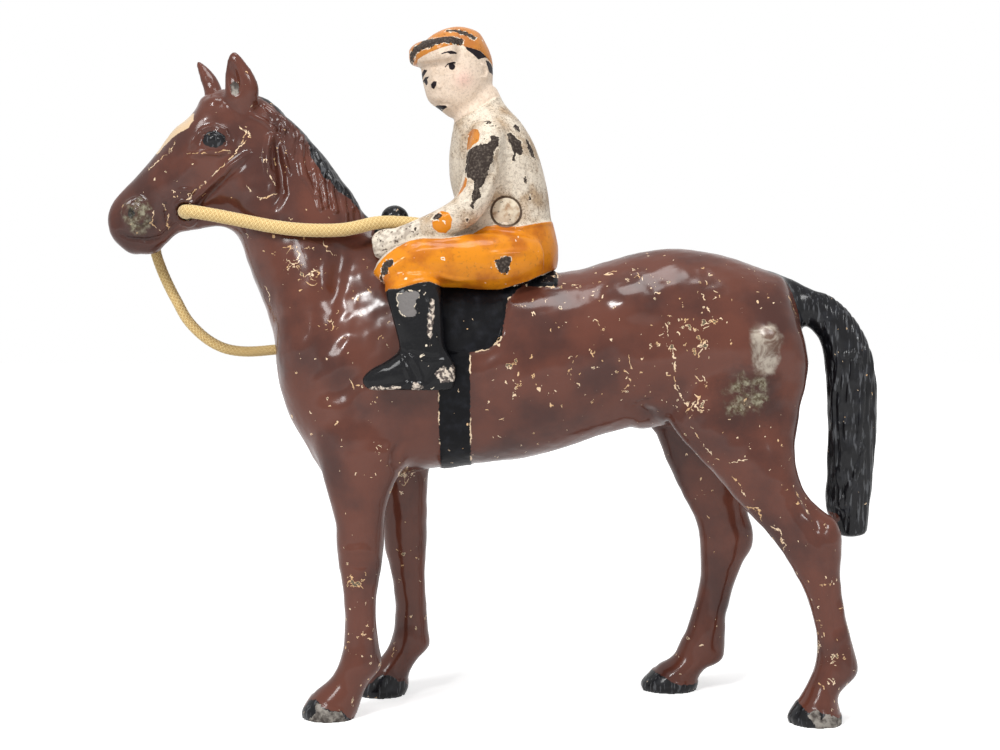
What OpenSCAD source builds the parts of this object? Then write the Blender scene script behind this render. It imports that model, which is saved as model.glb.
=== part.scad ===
// Cast iron race horse with a lift-off rider and cord reins.
// The horse stands on Z = 0 and faces -X. Its left side is towards -Y.
// Horse and rider are each cast in two hollow halves that meet on the plane Y = 0.

/* [Horse] */
// Width of the barrel behind the saddle
barrel_w = 45; // [43:0.5:50]
// Width of the head across the eyes
head_w = 21.6; // [20:0.2:24]
// Distance between the middles of the front hooves
front_stance = 27; // [24:0.5:32]
// Distance between the middles of the hind hooves
hind_stance = 39; // [34:0.5:42]
// Width of a hoof at the ground
hoof_w = 14.4; // [12:0.2:16]
// Thickness of the tail from side to side
tail_t = 9; // [7:0.2:12]
// Thickness of the iron in the horse's body
wall = 3; // [2.4:0.1:4]

/* [Saddle] */
// How far the saddle stands up from the body
saddle_t = 1; // [0.6:0.1:1.4]
// How far the girth strap stands up from the body
girth_t = 0.5; // [0.3:0.1:0.8]
// Width of the girth strap
girth_w = 9; // [6:0.5:12]
// Diameter of the knob at the front of the saddle
pommel_d = 8.6; // [7:0.2:9]

/* [Rider] */
// Width of the rider at the waist
waist_w = 26; // [24:0.5:30]
// Thickness of the iron in the rider's body
rider_wall = 2.5; // [2:0.1:3.5]
// How far the rider's head is turned to the left
head_turn = 38; // [0:1:50]
// Thickness of a boot from side to side
boot_t = 7.4; // [6:0.2:9]
// Gap between the rider and the saddle
seat_gap = 0.3; // [0.2:0.05:0.6]

/* [Rivets] */
// Diameter of the rivet shanks
rivet_d = 4; // [3:0.1:5]
// Diameter of the rider's round rivet heads
rivet_head_d = 8; // [7:0.1:9]
// Height of the rider's rivet heads
rivet_head_h = 1.8; // [1.2:0.1:2.4]
// How deep a rivet head is let into the rider's side
rivet_seat = 0.6; // [0.4:0.1:1]
// Gap between a rivet and its hole, on the radius
rivet_gap = 0.1; // [0.05:0.05:0.2]

/* [Reins] */
// Diameter of the cotton cord
cord_d = 4; // [3:0.1:4.4]
// Gap between the cord and the hole in the mouth, on the radius
mouth_gap = 0.4; // [0.2:0.05:0.6]
// Diameter of the raised ring round the hole in the mouth
mouth_ring_d = 6.8; // [6.6:0.1:8]
// Length of the knot between the rider's hands
knot_len = 6.8; // [5:0.2:8]

/* [Hidden] */

// Colours of the paint, the metal and the cord
brown = [0.40, 0.24, 0.20];
dark_brown = [0.34, 0.20, 0.17];
orange = [0.88, 0.55, 0.14];
cream = [0.86, 0.82, 0.74];
steel = [0.55, 0.54, 0.52];
cotton = [0.90, 0.76, 0.44];

// Sides of the rings that the castings and the cord are drawn with
body_sides = 28;
torso_sides = 24;
head_sides = 20;
leg_sides = 16;
arm_sides = 14;
tail_sides = 12;
ear_sides = 12;
cord_sides = 10;

half_barrel = barrel_w / 2;
half_head = head_w / 2;
half_waist = waist_w / 2;
reach = 300;

// Places of the rivets, the mouth hole and the knot, as [X, Z]
shoulder_at = [-22, 110.4];
hip_at = [76.4, 97.3];
waist_at = [3.9, 147];
mouth_at = [-91, 147.4];
knot_at = [-18.8, 143.4];
// Iron round each rivet hole, inside the castings
boss_wall = 3.4;
// The horse's rivets are filed off at these shares of the barrel: the shoulder's just under
// the saddle flap, and the hip's level with the side
shoulder_share = 0.95;
hip_share = 0.955;
// The ring round the mouth hole stands out to this share of the head
mouth_ring_share = 0.78;

// Trunk and neck, from the buttocks to the throat. Each row is a place on the top line,
// a place on the under line, the half width as a share of the barrel's, and how much
// narrower the top is than the bottom.
trunk_rows = [
    [91.6, 111.4, 91.8, 99.4, 0.20, 0],
    [90.6, 117, 91, 93.4, 0.50, 0],
    [88.4, 123, 89, 88.4, 0.74, 0],
    [84.5, 128.7, 84, 84.9, 0.88, 0],
    [77.5, 132, 77, 82.9, 0.95, 0.02],
    [69.8, 134.7, 69, 82.4, 0.98, 0.05],
    [60.4, 136.4, 60, 83.8, 0.97, 0.08],
    [52.4, 137, 51.7, 84, 0.95, 0.08],
    [43, 135.6, 43, 84, 0.94, 0.05],
    [33.6, 133, 34, 82, 0.97, 0.03],
    [24, 130.2, 25, 79, 0.995, 0.02],
    [12, 129.2, 12, 75.2, 1.01, 0.02],
    [0, 130.4, 0, 73.4, 1.005, 0.04],
    [-12, 133.8, -12, 71.8, 0.98, 0.10],
    [-22, 138.2, -24, 70.2, 0.945, 0.20],
    [-31, 143.4, -34, 68.8, 0.90, 0.30],
    [-37.5, 146.5, -43, 67.8, 0.86, 0.38],
    [-40.4, 150, -50.6, 69.2, 0.82, 0.40],
    [-43, 153.5, -56, 78.4, 0.79, 0.36],
    [-45.6, 157.1, -60.4, 87.4, 0.745, 0.32],
    [-49, 161.7, -63.6, 97, 0.69, 0.28],
    [-52, 165.5, -64.5, 104.4, 0.635, 0.25],
    [-55, 168.9, -65.4, 110.8, 0.59, 0.24],
    [-58, 172.3, -67.9, 118.4, 0.55, 0.24],
    [-61, 175.6, -71.4, 127.1, 0.515, 0.25],
    [-64.6, 179.6, -73.8, 133.8, 0.485, 0.24],
    [-69.4, 182.8, -76.3, 140.4, 0.465, 0.15],
];
// Head, from the poll to the muzzle, with the half width as a share of the head's
head_rows = [
    [-75, 184, -78.6, 142.6, 0.96, 0.02],
    [-80.5, 184.8, -81, 143.4, 0.98, -0.10],
    [-85.4, 183.2, -84.4, 143.6, 1.00, -0.18],
    [-88.8, 179.4, -88, 143, 0.99, -0.22],
    [-92.2, 176, -91.2, 142.4, 0.93, -0.22],
    [-95.8, 172.2, -94.1, 141.6, 0.85, -0.20],
    [-99.4, 167.6, -96.6, 140.6, 0.77, -0.15],
    [-102.9, 163.1, -99.4, 138.5, 0.70, -0.08],
    [-106.8, 158.8, -102.2, 136.7, 0.65, 0],
    [-110.4, 155.2, -104.9, 135.4, 0.63, 0.05],
    [-113.4, 151.8, -107.8, 135, 0.61, 0.05],
    [-115, 148.4, -111, 136.6, 0.52, 0],
    [-115.5, 145.4, -113.6, 139.4, 0.34, 0],
];
// The hollow of the trunk and neck runs between these two rows of the trunk
cavity_first = 2;
cavity_last = 24;

// Legs, from the sole up into the body. Each row is a height, the front and the back of
// the leg there, its middle as a share of the stance, and its half width.
half_hoof = hoof_w / 2;
near_front_rows = [
    [0, -55.4, -40.0, 1, half_hoof],
    [1.6, -55.2, -39.6, 1, half_hoof * 0.98],
    [4.4, -53.4, -38.6, 1, half_hoof * 0.90],
    [7.2, -51.6, -37.8, 1, half_hoof * 0.82],
    [10.2, -47.6, -36.4, 0.99, 5],
    [14.3, -45, -32.6, 0.99, 5.5],
    [17.4, -43.9, -32.8, 0.98, 5.2],
    [23.4, -43, -33.8, 0.98, 4.5],
    [31.4, -43, -34.3, 0.97, 4.4],
    [39.9, -43.9, -33.3, 0.97, 4.7],
    [44.4, -44.8, -32.4, 0.96, 5.5],
    [50.4, -45.3, -31.9, 0.96, 5.9],
    [57.4, -45.8, -31.5, 0.95, 6],
    [63.7, -46.9, -30.2, 0.95, 6.8],
    [69.4, -48.8, -27.4, 0.95, 7.6],
    [76.4, -51.8, -23.5, 0.93, 8.3],
    [85.4, -53.5, -20.5, 0.88, 8.6],
    [95.4, -51.5, -20, 0.78, 8.6],
    [104.4, -46, -23, 0.65, 7],
];
far_front_rows = [
    [0, -41.8, -27.2, 1, half_hoof],
    [1.6, -41.6, -27, 1, half_hoof * 0.98],
    [4.4, -40.2, -26.6, 1, half_hoof * 0.90],
    [7.2, -38.4, -26, 1, half_hoof * 0.82],
    [10.8, -34.8, -23.6, 0.99, 5],
    [15, -31.9, -19.9, 0.99, 5.5],
    [18.4, -30.9, -20.2, 0.98, 5.2],
    [26.4, -30, -20.8, 0.98, 4.5],
    [34.1, -30.8, -21.2, 0.97, 4.4],
    [40.4, -32, -21.2, 0.97, 4.9],
    [45.4, -33.3, -20.9, 0.96, 5.6],
    [51.4, -34, -20.7, 0.96, 5.9],
    [57.4, -34.8, -20.6, 0.95, 6],
    [63.7, -36.4, -20.3, 0.95, 6.8],
    [69.4, -39, -19.6, 0.95, 7.6],
    [76.4, -43.5, -18.4, 0.93, 8.3],
    [85.4, -47, -17.4, 0.88, 8.6],
    [95.4, -47, -18, 0.78, 8.6],
    [104.4, -43, -22, 0.65, 7],
];
near_hind_rows = [
    [0, 84.8, 99.9, 1, half_hoof],
    [1.6, 85.3, 99.8, 1, half_hoof * 0.98],
    [4.4, 87, 99.2, 1, half_hoof * 0.90],
    [7.4, 88.8, 98.6, 1, half_hoof * 0.82],
    [10.4, 90.6, 100.6, 0.99, 5.1],
    [14.5, 92.3, 104.8, 0.99, 5.5],
    [18.4, 93.3, 104.2, 0.98, 5.1],
    [25.8, 93.2, 102.2, 0.98, 4.4],
    [35.1, 90.8, 100.1, 0.98, 4.4],
    [41.3, 88, 99.6, 0.97, 4.8],
    [46.4, 85, 99.9, 0.96, 5.2],
    [52, 81, 100.2, 0.95, 5.4],
    [56.6, 77, 99.4, 0.94, 5.4],
    [60.4, 73.1, 94.8, 0.92, 5.6],
    [64.4, 69.4, 91, 0.90, 6.1],
    [70.4, 64.2, 88.4, 0.86, 7.2],
    [78.4, 57, 87.9, 0.78, 8.8],
    [86.4, 51.4, 89.2, 0.69, 10],
    [97.4, 51, 90.8, 0.60, 10.4],
    [108.4, 54, 89.6, 0.52, 10],
    [116.4, 60, 85, 0.45, 8],
];
far_hind_rows = [
    [0, 46.2, 63.5, 1, half_hoof],
    [1.6, 46.6, 63.6, 1, half_hoof * 0.98],
    [4.4, 49, 64.2, 1, half_hoof * 0.90],
    [7.4, 52, 67, 1, half_hoof * 0.82],
    [10.4, 55.8, 71.4, 0.99, 5.1],
    [14.4, 58.6, 72.2, 0.99, 5.5],
    [18.4, 60.7, 72.4, 0.98, 5.1],
    [26, 63.2, 73, 0.98, 4.4],
    [32.8, 64.8, 74.5, 0.98, 4.4],
    [38.4, 65.4, 77, 0.97, 4.8],
    [43.8, 65.4, 80.3, 0.96, 5.2],
    [48.4, 65, 81.1, 0.95, 5.4],
    [53.4, 63.4, 80, 0.94, 5.4],
    [58.4, 61.2, 79, 0.92, 5.6],
    [63.4, 58.8, 79.6, 0.90, 6.1],
    [70.4, 54.2, 81.8, 0.86, 7.2],
    [77.4, 51.4, 85.6, 0.79, 8.6],
    [85.4, 48.4, 88.6, 0.70, 9.8],
    [96.4, 48.6, 90.4, 0.60, 10.4],
    [108.4, 55, 89, 0.52, 10],
    [116.4, 60, 85, 0.45, 8],
];

// Tail, from the croup to its flat end, as [outer X, outer Z, inner X, inner Z, share]
tail_rows = [
    [80, 128.4, 88, 116.4, 0.6],
    [88, 127, 91, 115.4, 0.75],
    [93.8, 125.4, 93.4, 113.6, 0.88],
    [100, 123.8, 95.7, 112, 0.95],
    [105.4, 119.8, 98.1, 109.4, 1],
    [110.2, 113.6, 99.6, 105, 1],
    [113.2, 106.8, 100.3, 99.4, 1],
    [114.9, 97.6, 100.5, 91.9, 1],
    [115.2, 86, 100.5, 82.4, 1],
    [114.3, 74.1, 100.5, 71.4, 0.98],
    [113.1, 62.3, 100.8, 60.4, 0.92],
    [112, 51.2, 103.6, 51, 0.8],
];

// Ears, as [X, Y, Z, radius] from the root to the tip
near_ear_rows = [
    [-74, -5.4, 179.4, 4.4],
    [-74.4, -6.4, 183.4, 4.6],
    [-75, -7.2, 187.8, 3.9],
    [-75.9, -7.9, 191.6, 2.3],
    [-76.5, -8.3, 194.4, 0.5],
];
far_ear_rows = [
    [-84, 5.2, 180.8, 3.6],
    [-85.2, 6.2, 184.8, 3.5],
    [-86.6, 7, 188.4, 2.7],
    [-88.6, 7.7, 192.4, 1.5],
    [-89.8, 8.1, 194.8, 0.5],
];

// Saddle flap and seat, and the line of the girth, as [X, Z]
saddle_outline = [
    [19, 125], [12, 125.2], [8.6, 125.6], [4.3, 121.3], [2.5, 110], [-1.4, 106.9],
    [-8.4, 105.8], [-15, 105.8], [-17, 116.4], [-25, 130.4], [-35, 140.4], [-36, 152.4], [19, 140.4],
];
girth_x = -10.9;
girth_top = saddle_outline[6][1] + girth_w / 2;
// Neck of the pommel, as [X, Y, Z, share of the knob's radius], and the middle of its knob
pommel_rows = [
    [-23.4, 0, 136, 0.80],
    [-27, 0, 140.7, 0.94],
    [-29.4, 0, 144.7, 1],
];
knob_at = [-29.4, 0, 145.6];

// Rider's body, as [height, front X, back X, half width as a share of the waist's]
torso_rows = [
    [122.4, -4, 12, 0.9],
    [127.4, -9, 17.4, 1.1],
    [132.4, -12.4, 19.1, 1.18],
    [137.4, -13, 19.3, 1.18],
    [141.4, -12, 18.5, 1.1],
    [147, -10.8, 17.2, 1],
    [153.4, -12, 16.5, 1.02],
    [158.4, -13, 15.5, 1.07],
    [162.4, -13.2, 14.4, 1.11],
    [166.4, -13, 13, 1.13],
    [170, -12.6, 11.4, 1.09],
    [173, -12, 9.6, 0.96],
    [175.7, -11.6, 7.6, 0.74],
    [178, -11.8, 5.4, 0.55],
    [180.8, -12.6, 3.2, 0.46],
    [185.4, -13, 1, 0.44],
];
// The rider's hollow runs between these two rows
torso_cavity_first = 3;
torso_cavity_last = 9;

// Rider's head and cap crown, before the head is turned, as
// [height, front, back, half width] from the upright axis through the head
head_axis_x = -10.4;
rider_head_rows = [
    [176.4, -3.8, 5, 4.4],
    [178.2, -7, 7, 5.8],
    [180.2, -8.9, 8.6, 7.4],
    [183, -10.2, 9.8, 8.8],
    [186.4, -11, 10.5, 9.8],
    [189.4, -11.4, 10.6, 10.2],
    [192.4, -11.6, 10.6, 10.4],
    [194.8, -11.8, 10.6, 10.4],
    [197.4, -11, 9.8, 9.5],
    [199.8, -8.8, 8, 7.6],
    [201.8, -5.6, 5.8, 5.2],
    [203, -2, 2.2, 2],
];
// Cap peak, as [height, front, back, half width] before the head is turned
peak_rows = [
    [192.4, -13.8, -3, 8.8],
    [193.4, -14.4, -3, 9.6],
    [195.4, -14.7, -3, 9.8],
    [197.6, -13.8, -3, 9.6],
    [199, -11.6, -3, 8.6],
];
peak_tilt = 5;

// Arm, thigh and boot of the left side; the right side mirrors them
arm_rows = [
    [-0.8, -10.5, 170.4, 5.2],
    [-1.8, -14.4, 164.9, 5.4],
    [-3.2, -15.9, 157.9, 5.2],
    [-5.2, -16.5, 151.4, 5],
    [-8.4, -16.5, 146.8, 4.7],
    [-14, -15.5, 143.8, 4.3],
    [-20.5, -14, 141.2, 4],
    [-27, -12, 138.8, 3.9],
    [-31.5, -10.8, 137.4, 4.6],
    [-34.6, -10.2, 136.8, 3.8],
];
thigh_rows = [
    [12, -9, 133, 6.5],
    [6, -12, 132.8, 8],
    [-2, -15, 132.4, 8],
    [-10, -17.2, 132.2, 7.2],
    [-18, -18.6, 131.9, 6.8],
    [-24, -19.4, 131, 6.8],
    [-28.2, -20, 128.8, 6],
    [-30.4, -20.4, 126, 4.4],
];
// Boot, as [height, front X, back X, half thickness as a share, how far in it leans]
boot_rows = [
    [95.7, -34, -11.4, 0.86, 0],
    [96.6, -36.2, -10.7, 0.96, 0],
    [98.8, -36.8, -10.3, 1, 0],
    [101.2, -34.8, -10.3, 1.02, 0],
    [103.4, -30.8, -10.8, 1.04, 0],
    [105.6, -27.6, -12.2, 1.06, 0.1],
    [107.8, -26.3, -13.3, 1.08, 0.2],
    [112.9, -27.4, -13.8, 1.16, 0.8],
    [118.4, -29.1, -14.2, 1.26, 1.8],
    [123.4, -30.4, -14.6, 1.36, 3.2],
    [128.4, -30, -16, 1.4, 5],
];
// How far the inner side of a boot is drawn into the room that is cut for the horse
boot_tuck = 0.7;
boot_y = half_barrel + saddle_t + seat_gap + boot_t / 2 - boot_tuck;

// Reins, as [X, Y, Z]. Both start in the middle of the mouth hole and end square to the knot.
knot_half = knot_len / 2;
near_route = [
    [-91, 0, 147.4], [-91, -4, 147.4], [-91, -7.4, 147.4], [-90.2, -9.8, 147.4],
    [-88, -11.4, 147.2], [-84.4, -12.2, 146.6], [-79, -12.6, 145.6], [-72, -13.6, 144.2],
    [-64, -15.2, 142.6], [-56, -15.8, 141.6], [-48.5, -15, 141.4], [-43, -13.4, 141.8],
    [-38.6, -11.8, 142.8], [-35, -10.4, 143.8], [-31.6, -9.2, 144.2], [-28.2, -8.3, 144.2],
    [-24.6, -7.8, 144], [-21.6, -7.5, 143.7], [-19.6, -6.5, 143.5],
    [knot_at[0], -knot_half - 1.5, knot_at[1]], [knot_at[0], -knot_half, knot_at[1]],
];
far_route = [
    [-91, 0, 147.4], [-91, 4, 147.4], [-91, 7.4, 147.4], [-92.6, 10, 147.2],
    [-96.4, 11.8, 146], [-100.6, 12.8, 143.8], [-103.8, 13.2, 140.6], [-104.4, 13.4, 136.8],
    [-102.8, 13.6, 131.6], [-100.6, 13.9, 126.4], [-98, 14.4, 121.2], [-94.8, 15.1, 115.4],
    [-89.8, 16, 110.2], [-84.4, 17, 107],
    [-78.6, 18, 105.8], [-71.6, 19, 106], [-64, 19.8, 107.2], [-57, 20.4, 110.4],
    [-50.6, 20.4, 115.8], [-45.6, 19.6, 122.8], [-42.2, 17.6, 130.4], [-40, 14.8, 137.2],
    [-38, 12.4, 141.6], [-35, 10.6, 143.8], [-31.6, 9.2, 144.2], [-28.2, 8.3, 144.2],
    [-24.6, 7.8, 144], [-21.6, 7.5, 143.7], [-19.6, 6.5, 143.5],
    [knot_at[0], knot_half + 1.5, knot_at[1]], [knot_at[0], knot_half, knot_at[1]],
];

// A ring across the mid plane, between a place on the top line and one on the under line
function upright_ring(row, half, grow) =
    let (
        top = [row[0], row[1]],
        low = [row[2], row[3]],
        out = (top - low) / norm(top - low),
        a = top + out * grow,
        b = low - out * grow,
        w = half * row[4] + grow
    )
    [for (i = [0 : body_sides - 1])
        let (t = 360 * i / body_sides, u = cos(t), v = sin(t))
        [(a[0] + b[0]) / 2 + u * (a[0] - b[0]) / 2,
            w * v * (1 - row[5] * u),
            (a[1] + b[1]) / 2 + u * (a[1] - b[1]) / 2]];

// A level ring from a front place to a back place
function level_ring(z, front, back, middle, half, sides) =
    [for (i = [0 : sides - 1])
        let (t = 360 * i / sides)
        [(front + back) / 2 - cos(t) * (back - front) / 2, middle - half * sin(t), z]];

function place(row) = [row[0], row[1], row[2]];
function heading(rows, i) =
    place(rows[min(i + 1, len(rows) - 1)]) - place(rows[max(i - 1, 0)]);

// A direction square to the path, carried from the ring before so that the tube never twists
function carried(side, along) =
    let (f = along / norm(along), s = side - (side * f) * f)
    s / norm(s);
function sides_along(rows, i) =
    i == 0 ? carried([0, 0.2, 1], heading(rows, 0))
        : carried(sides_along(rows, i - 1), heading(rows, i));

function tube_ring(rows, i, radius, sides) =
    let (
        f = heading(rows, i) / norm(heading(rows, i)),
        a = sides_along(rows, i),
        b = cross(f, a)
    )
    [for (k = [0 : sides - 1])
        let (t = 360 * k / sides)
        place(rows[i]) + radius * (cos(t) * a + sin(t) * b)];

// A closed skin over rings that all have the same number of points
module skin_over(rings) {
    n = len(rings[0]);
    last = len(rings) - 1;
    faces = concat(
        [[for (i = [0 : n - 1]) i]],
        [[for (i = [0 : n - 1]) last * n + n - 1 - i]],
        [for (k = [0 : last - 1], i = [0 : n - 1])
            [(k + 1) * n + i, k * n + (i + 1) % n, k * n + i]],
        [for (k = [0 : last - 1], i = [0 : n - 1])
            [(k + 1) * n + i, (k + 1) * n + (i + 1) % n, k * n + (i + 1) % n]]
    );
    polyhedron([for (r = rings) each r], faces);
}

// A round limb along rows of [X, Y, Z, radius]
module limb(rows, sides) {
    skin_over([for (i = [0 : len(rows) - 1]) tube_ring(rows, i, rows[i][3], sides)]);
}

module tube(route, diameter) {
    skin_over([for (i = [0 : len(route) - 1]) tube_ring(route, i, diameter / 2, cord_sides)]);
}

// A bar along Y from one place to another, round, with its axis at [X, Z]
module cross_bar(at, from_y, to_y, radius) {
    translate([at[0], to_y, at[1]])
        rotate([90, 0, 0])
            cylinder(r = radius, h = to_y - from_y, $fn = 48);
}

// An outline in X and Z made into a plate that reaches through the whole width
module through_plate(outline) {
    translate([0, reach / 2, 0])
        rotate([90, 0, 0])
            linear_extrude(reach)
                polygon(outline);
}

module half_space(side) {
    translate([-reach, side < 0 ? -reach : 0, -reach])
        cube([2 * reach, reach, 2 * reach]);
}

// Resizing by zero keeps the size and makes one skin of all the forms inside
module one_skin() {
    resize([0, 0, 0])
        union()
            children();
}

module trunk_and_head(grow = 0) {
    skin_over(concat(
        [for (row = trunk_rows) upright_ring(row, half_barrel, grow)],
        [for (row = head_rows) upright_ring(row, half_head, grow)]
    ));
}

module trunk_cavity() {
    skin_over([for (i = [cavity_first : cavity_last])
        upright_ring(trunk_rows[i], half_barrel, -wall)]);
}

module leg(rows, stance, side) {
    skin_over([for (row = rows)
        level_ring(row[0], row[1], row[2], side * row[3] * stance / 2, row[4], leg_sides)]);
}

module tail() {
    skin_over([for (row = tail_rows)
        let (thick = tail_t / 2 * row[4])
        [for (i = [0 : tail_sides - 1])
            let (t = 360 * i / tail_sides, u = cos(t), v = sin(t))
            [(row[0] + row[2]) / 2 + u * (row[0] - row[2]) / 2,
                -thick * v,
                (row[1] + row[3]) / 2 + u * (row[1] - row[3]) / 2]]]);
}

module saddle() {
    intersection() {
        trunk_and_head(saddle_t);
        through_plate(saddle_outline);
    }
    intersection() {
        trunk_and_head(girth_t);
        through_plate([
            [girth_x - girth_w / 2, 0], [girth_x + girth_w / 2, 0],
            [girth_x + girth_w / 2, girth_top], [girth_x - girth_w / 2, girth_top],
        ]);
    }
    limb([for (row = pommel_rows) [row[0], row[1], row[2], row[3] * pommel_d / 2]], arm_sides);
    translate(knob_at)
        sphere(d = pommel_d, $fn = 20);
}

module rivet_boss(at, half_width, side) {
    cross_bar(at, side < 0 ? -half_width : 0, side < 0 ? 0 : half_width,
        rivet_d / 2 + boss_wall);
}

module horse_skin(side) {
    ring_y = half_head * mouth_ring_share;
    one_skin() {
        difference() {
            intersection() {
                union() {
                    trunk_and_head();
                    saddle();
                    tail();
                    leg(near_front_rows, front_stance, -1);
                    leg(near_hind_rows, hind_stance, -1);
                    leg(far_front_rows, front_stance, 1);
                    leg(far_hind_rows, hind_stance, 1);
                    limb(near_ear_rows, ear_sides);
                    limb(far_ear_rows, ear_sides);
                }
                half_space(side);
            }
            trunk_cavity();
        }
        rivet_boss(shoulder_at, half_barrel * shoulder_share - wall / 2, side);
        rivet_boss(hip_at, half_barrel * hip_share - wall / 2, side);
        cross_bar(mouth_at, side < 0 ? -ring_y : 0, side < 0 ? 0 : ring_y, mouth_ring_d / 2);
    }
}

module horse_half(side) {
    difference() {
        horse_skin(side);
        cross_bar(shoulder_at, -reach / 2, reach / 2, rivet_d / 2 + rivet_gap);
        cross_bar(hip_at, -reach / 2, reach / 2, rivet_d / 2 + rivet_gap);
        cross_bar(mouth_at, -reach / 2, reach / 2, cord_d / 2 + mouth_gap);
    }
}

module horse_left_half() {
    color(brown)
        horse_half(-1);
}

module horse_right_half() {
    color(dark_brown)
        horse_half(1);
}

module shoulder_rivet() {
    color(steel)
        cross_bar(shoulder_at, -half_barrel * shoulder_share, half_barrel * shoulder_share,
            rivet_d / 2);
}

module hip_rivet() {
    color(steel)
        cross_bar(hip_at, -half_barrel * hip_share, half_barrel * hip_share, rivet_d / 2);
}

module rider_head() {
    translate([head_axis_x, 0, 0])
        rotate([0, 0, head_turn]) {
            skin_over([for (row = rider_head_rows)
                level_ring(row[0], row[1], row[2], 0, row[3], head_sides)]);
            translate([0, 0, peak_rows[0][0]])
                rotate([0, -peak_tilt, 0])
                    translate([0, 0, -peak_rows[0][0]])
                        skin_over([for (row = peak_rows)
                            level_ring(row[0], row[1], row[2], 0, row[3], head_sides)]);
        }
}

module rider_side(side) {
    mirror([0, side < 0 ? 0 : 1, 0]) {
        limb(arm_rows, arm_sides);
        limb(thigh_rows, leg_sides);
        skin_over([for (row = boot_rows)
            level_ring(row[0], row[1], row[2], -boot_y + row[4], boot_t / 2 * row[3], leg_sides)]);
    }
}

module torso(grow = 0, first = 0, last = len(torso_rows) - 1) {
    skin_over([for (i = [first : last])
        let (row = torso_rows[i])
        level_ring(row[0], row[1] - grow, row[2] + grow, 0, row[3] * half_waist + grow,
            torso_sides)]);
}

// Room for the horse: its body and saddle with the seat's gap all round
module horse_room() {
    trunk_and_head(saddle_t + seat_gap);
}

module rider_skin(side) {
    one_skin() {
        difference() {
            intersection() {
                union() {
                    torso();
                    rider_head();
                    rider_side(side);
                }
                half_space(side);
            }
            torso(-rider_wall, torso_cavity_first, torso_cavity_last);
            horse_room();
        }
        cross_bar(waist_at, side < 0 ? -half_waist + rider_wall / 2 : 0,
            side < 0 ? 0 : half_waist - rider_wall / 2, rivet_d / 2 + boss_wall);
    }
}

module rider_half(side) {
    head_seat = half_waist - rivet_seat;
    difference() {
        rider_skin(side);
        cross_bar(waist_at, -reach / 2, reach / 2, rivet_d / 2 + rivet_gap);
        cross_bar(waist_at, side < 0 ? -reach / 2 : head_seat,
            side < 0 ? -head_seat : reach / 2, rivet_head_d / 2 + rivet_gap);
    }
}

module rider_left_half() {
    color(cream)
        rider_half(-1);
}

module rider_right_half() {
    color(orange)
        rider_half(1);
}

module rider_rivet() {
    head_seat = half_waist - rivet_seat;
    edge = rivet_head_h / 3;
    color(steel)
        translate([waist_at[0], 0, waist_at[1]])
            rotate([90, 0, 0])
                rotate_extrude($fn = 48)
                    polygon([
                        [0, -head_seat - rivet_head_h],
                        [rivet_head_d / 4, -head_seat - rivet_head_h + edge / 3],
                        [rivet_head_d / 2, -head_seat - rivet_head_h + 1.5 * edge],
                        [rivet_head_d / 2, -head_seat],
                        [rivet_d / 2, -head_seat],
                        [rivet_d / 2, head_seat],
                        [rivet_head_d / 2, head_seat],
                        [rivet_head_d / 2, head_seat + rivet_head_h - 1.5 * edge],
                        [rivet_head_d / 4, head_seat + rivet_head_h - edge / 3],
                        [0, head_seat + rivet_head_h],
                    ]);
}

module near_rein() {
    color(cotton)
        tube(near_route, cord_d);
}

module far_rein() {
    color(cotton)
        tube(far_route, cord_d);
}

module rein_knot() {
    color(cotton)
        translate([knot_at[0], 0, knot_at[1]])
            rotate([90, 0, 0])
                rotate_extrude($fn = 32)
                    polygon([
                        [0, -knot_half],
                        [cord_d / 2, -knot_half],
                        [cord_d * 0.72, -knot_half * 0.6],
                        [cord_d * 0.78, 0],
                        [cord_d * 0.72, knot_half * 0.6],
                        [cord_d / 2, knot_half],
                        [0, knot_half],
                    ]);
}

horse_left_half();
horse_right_half();
shoulder_rivet();
hip_rivet();
rider_left_half();
rider_right_half();
rider_rivet();
near_rein();
far_rein();
rein_knot();
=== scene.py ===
# %% [markdown]
# # A cast iron race horse with its rider
# The real toy is two hollow iron halves for the horse and two for the rider, riveted
# together and painted by hand. A loop of cotton cord goes through a hole in the mouth
# and makes the reins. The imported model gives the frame: every piece below is made in
# that frame, in millimetres while it is being worked on, and in metres once it is done.

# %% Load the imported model
import bmesh
import bpy
import numpy as np
from math import cos, pi, radians, sin
from mathutils import Matrix, Vector


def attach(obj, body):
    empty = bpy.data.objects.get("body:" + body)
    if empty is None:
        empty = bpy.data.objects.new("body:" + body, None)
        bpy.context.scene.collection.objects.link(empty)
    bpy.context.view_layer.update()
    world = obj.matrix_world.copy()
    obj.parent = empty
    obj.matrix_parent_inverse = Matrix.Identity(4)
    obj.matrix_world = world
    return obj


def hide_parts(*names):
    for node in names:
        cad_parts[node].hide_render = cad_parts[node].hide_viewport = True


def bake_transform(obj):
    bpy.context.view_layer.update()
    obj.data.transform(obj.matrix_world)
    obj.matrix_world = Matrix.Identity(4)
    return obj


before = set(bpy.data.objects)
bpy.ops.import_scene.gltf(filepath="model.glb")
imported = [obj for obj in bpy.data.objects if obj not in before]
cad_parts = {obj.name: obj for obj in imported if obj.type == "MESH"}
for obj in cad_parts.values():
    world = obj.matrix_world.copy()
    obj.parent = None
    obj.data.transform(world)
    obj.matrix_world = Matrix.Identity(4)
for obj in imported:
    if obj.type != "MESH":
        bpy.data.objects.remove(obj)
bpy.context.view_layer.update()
MM = 0.001

# %% [markdown]
# ## Camera
# The photograph was taken from the side with a short telephoto lens. The camera stands
# level at the height of the rider's boots, and a small downward shift frames the hooves
# without tilting the legs.

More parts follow.
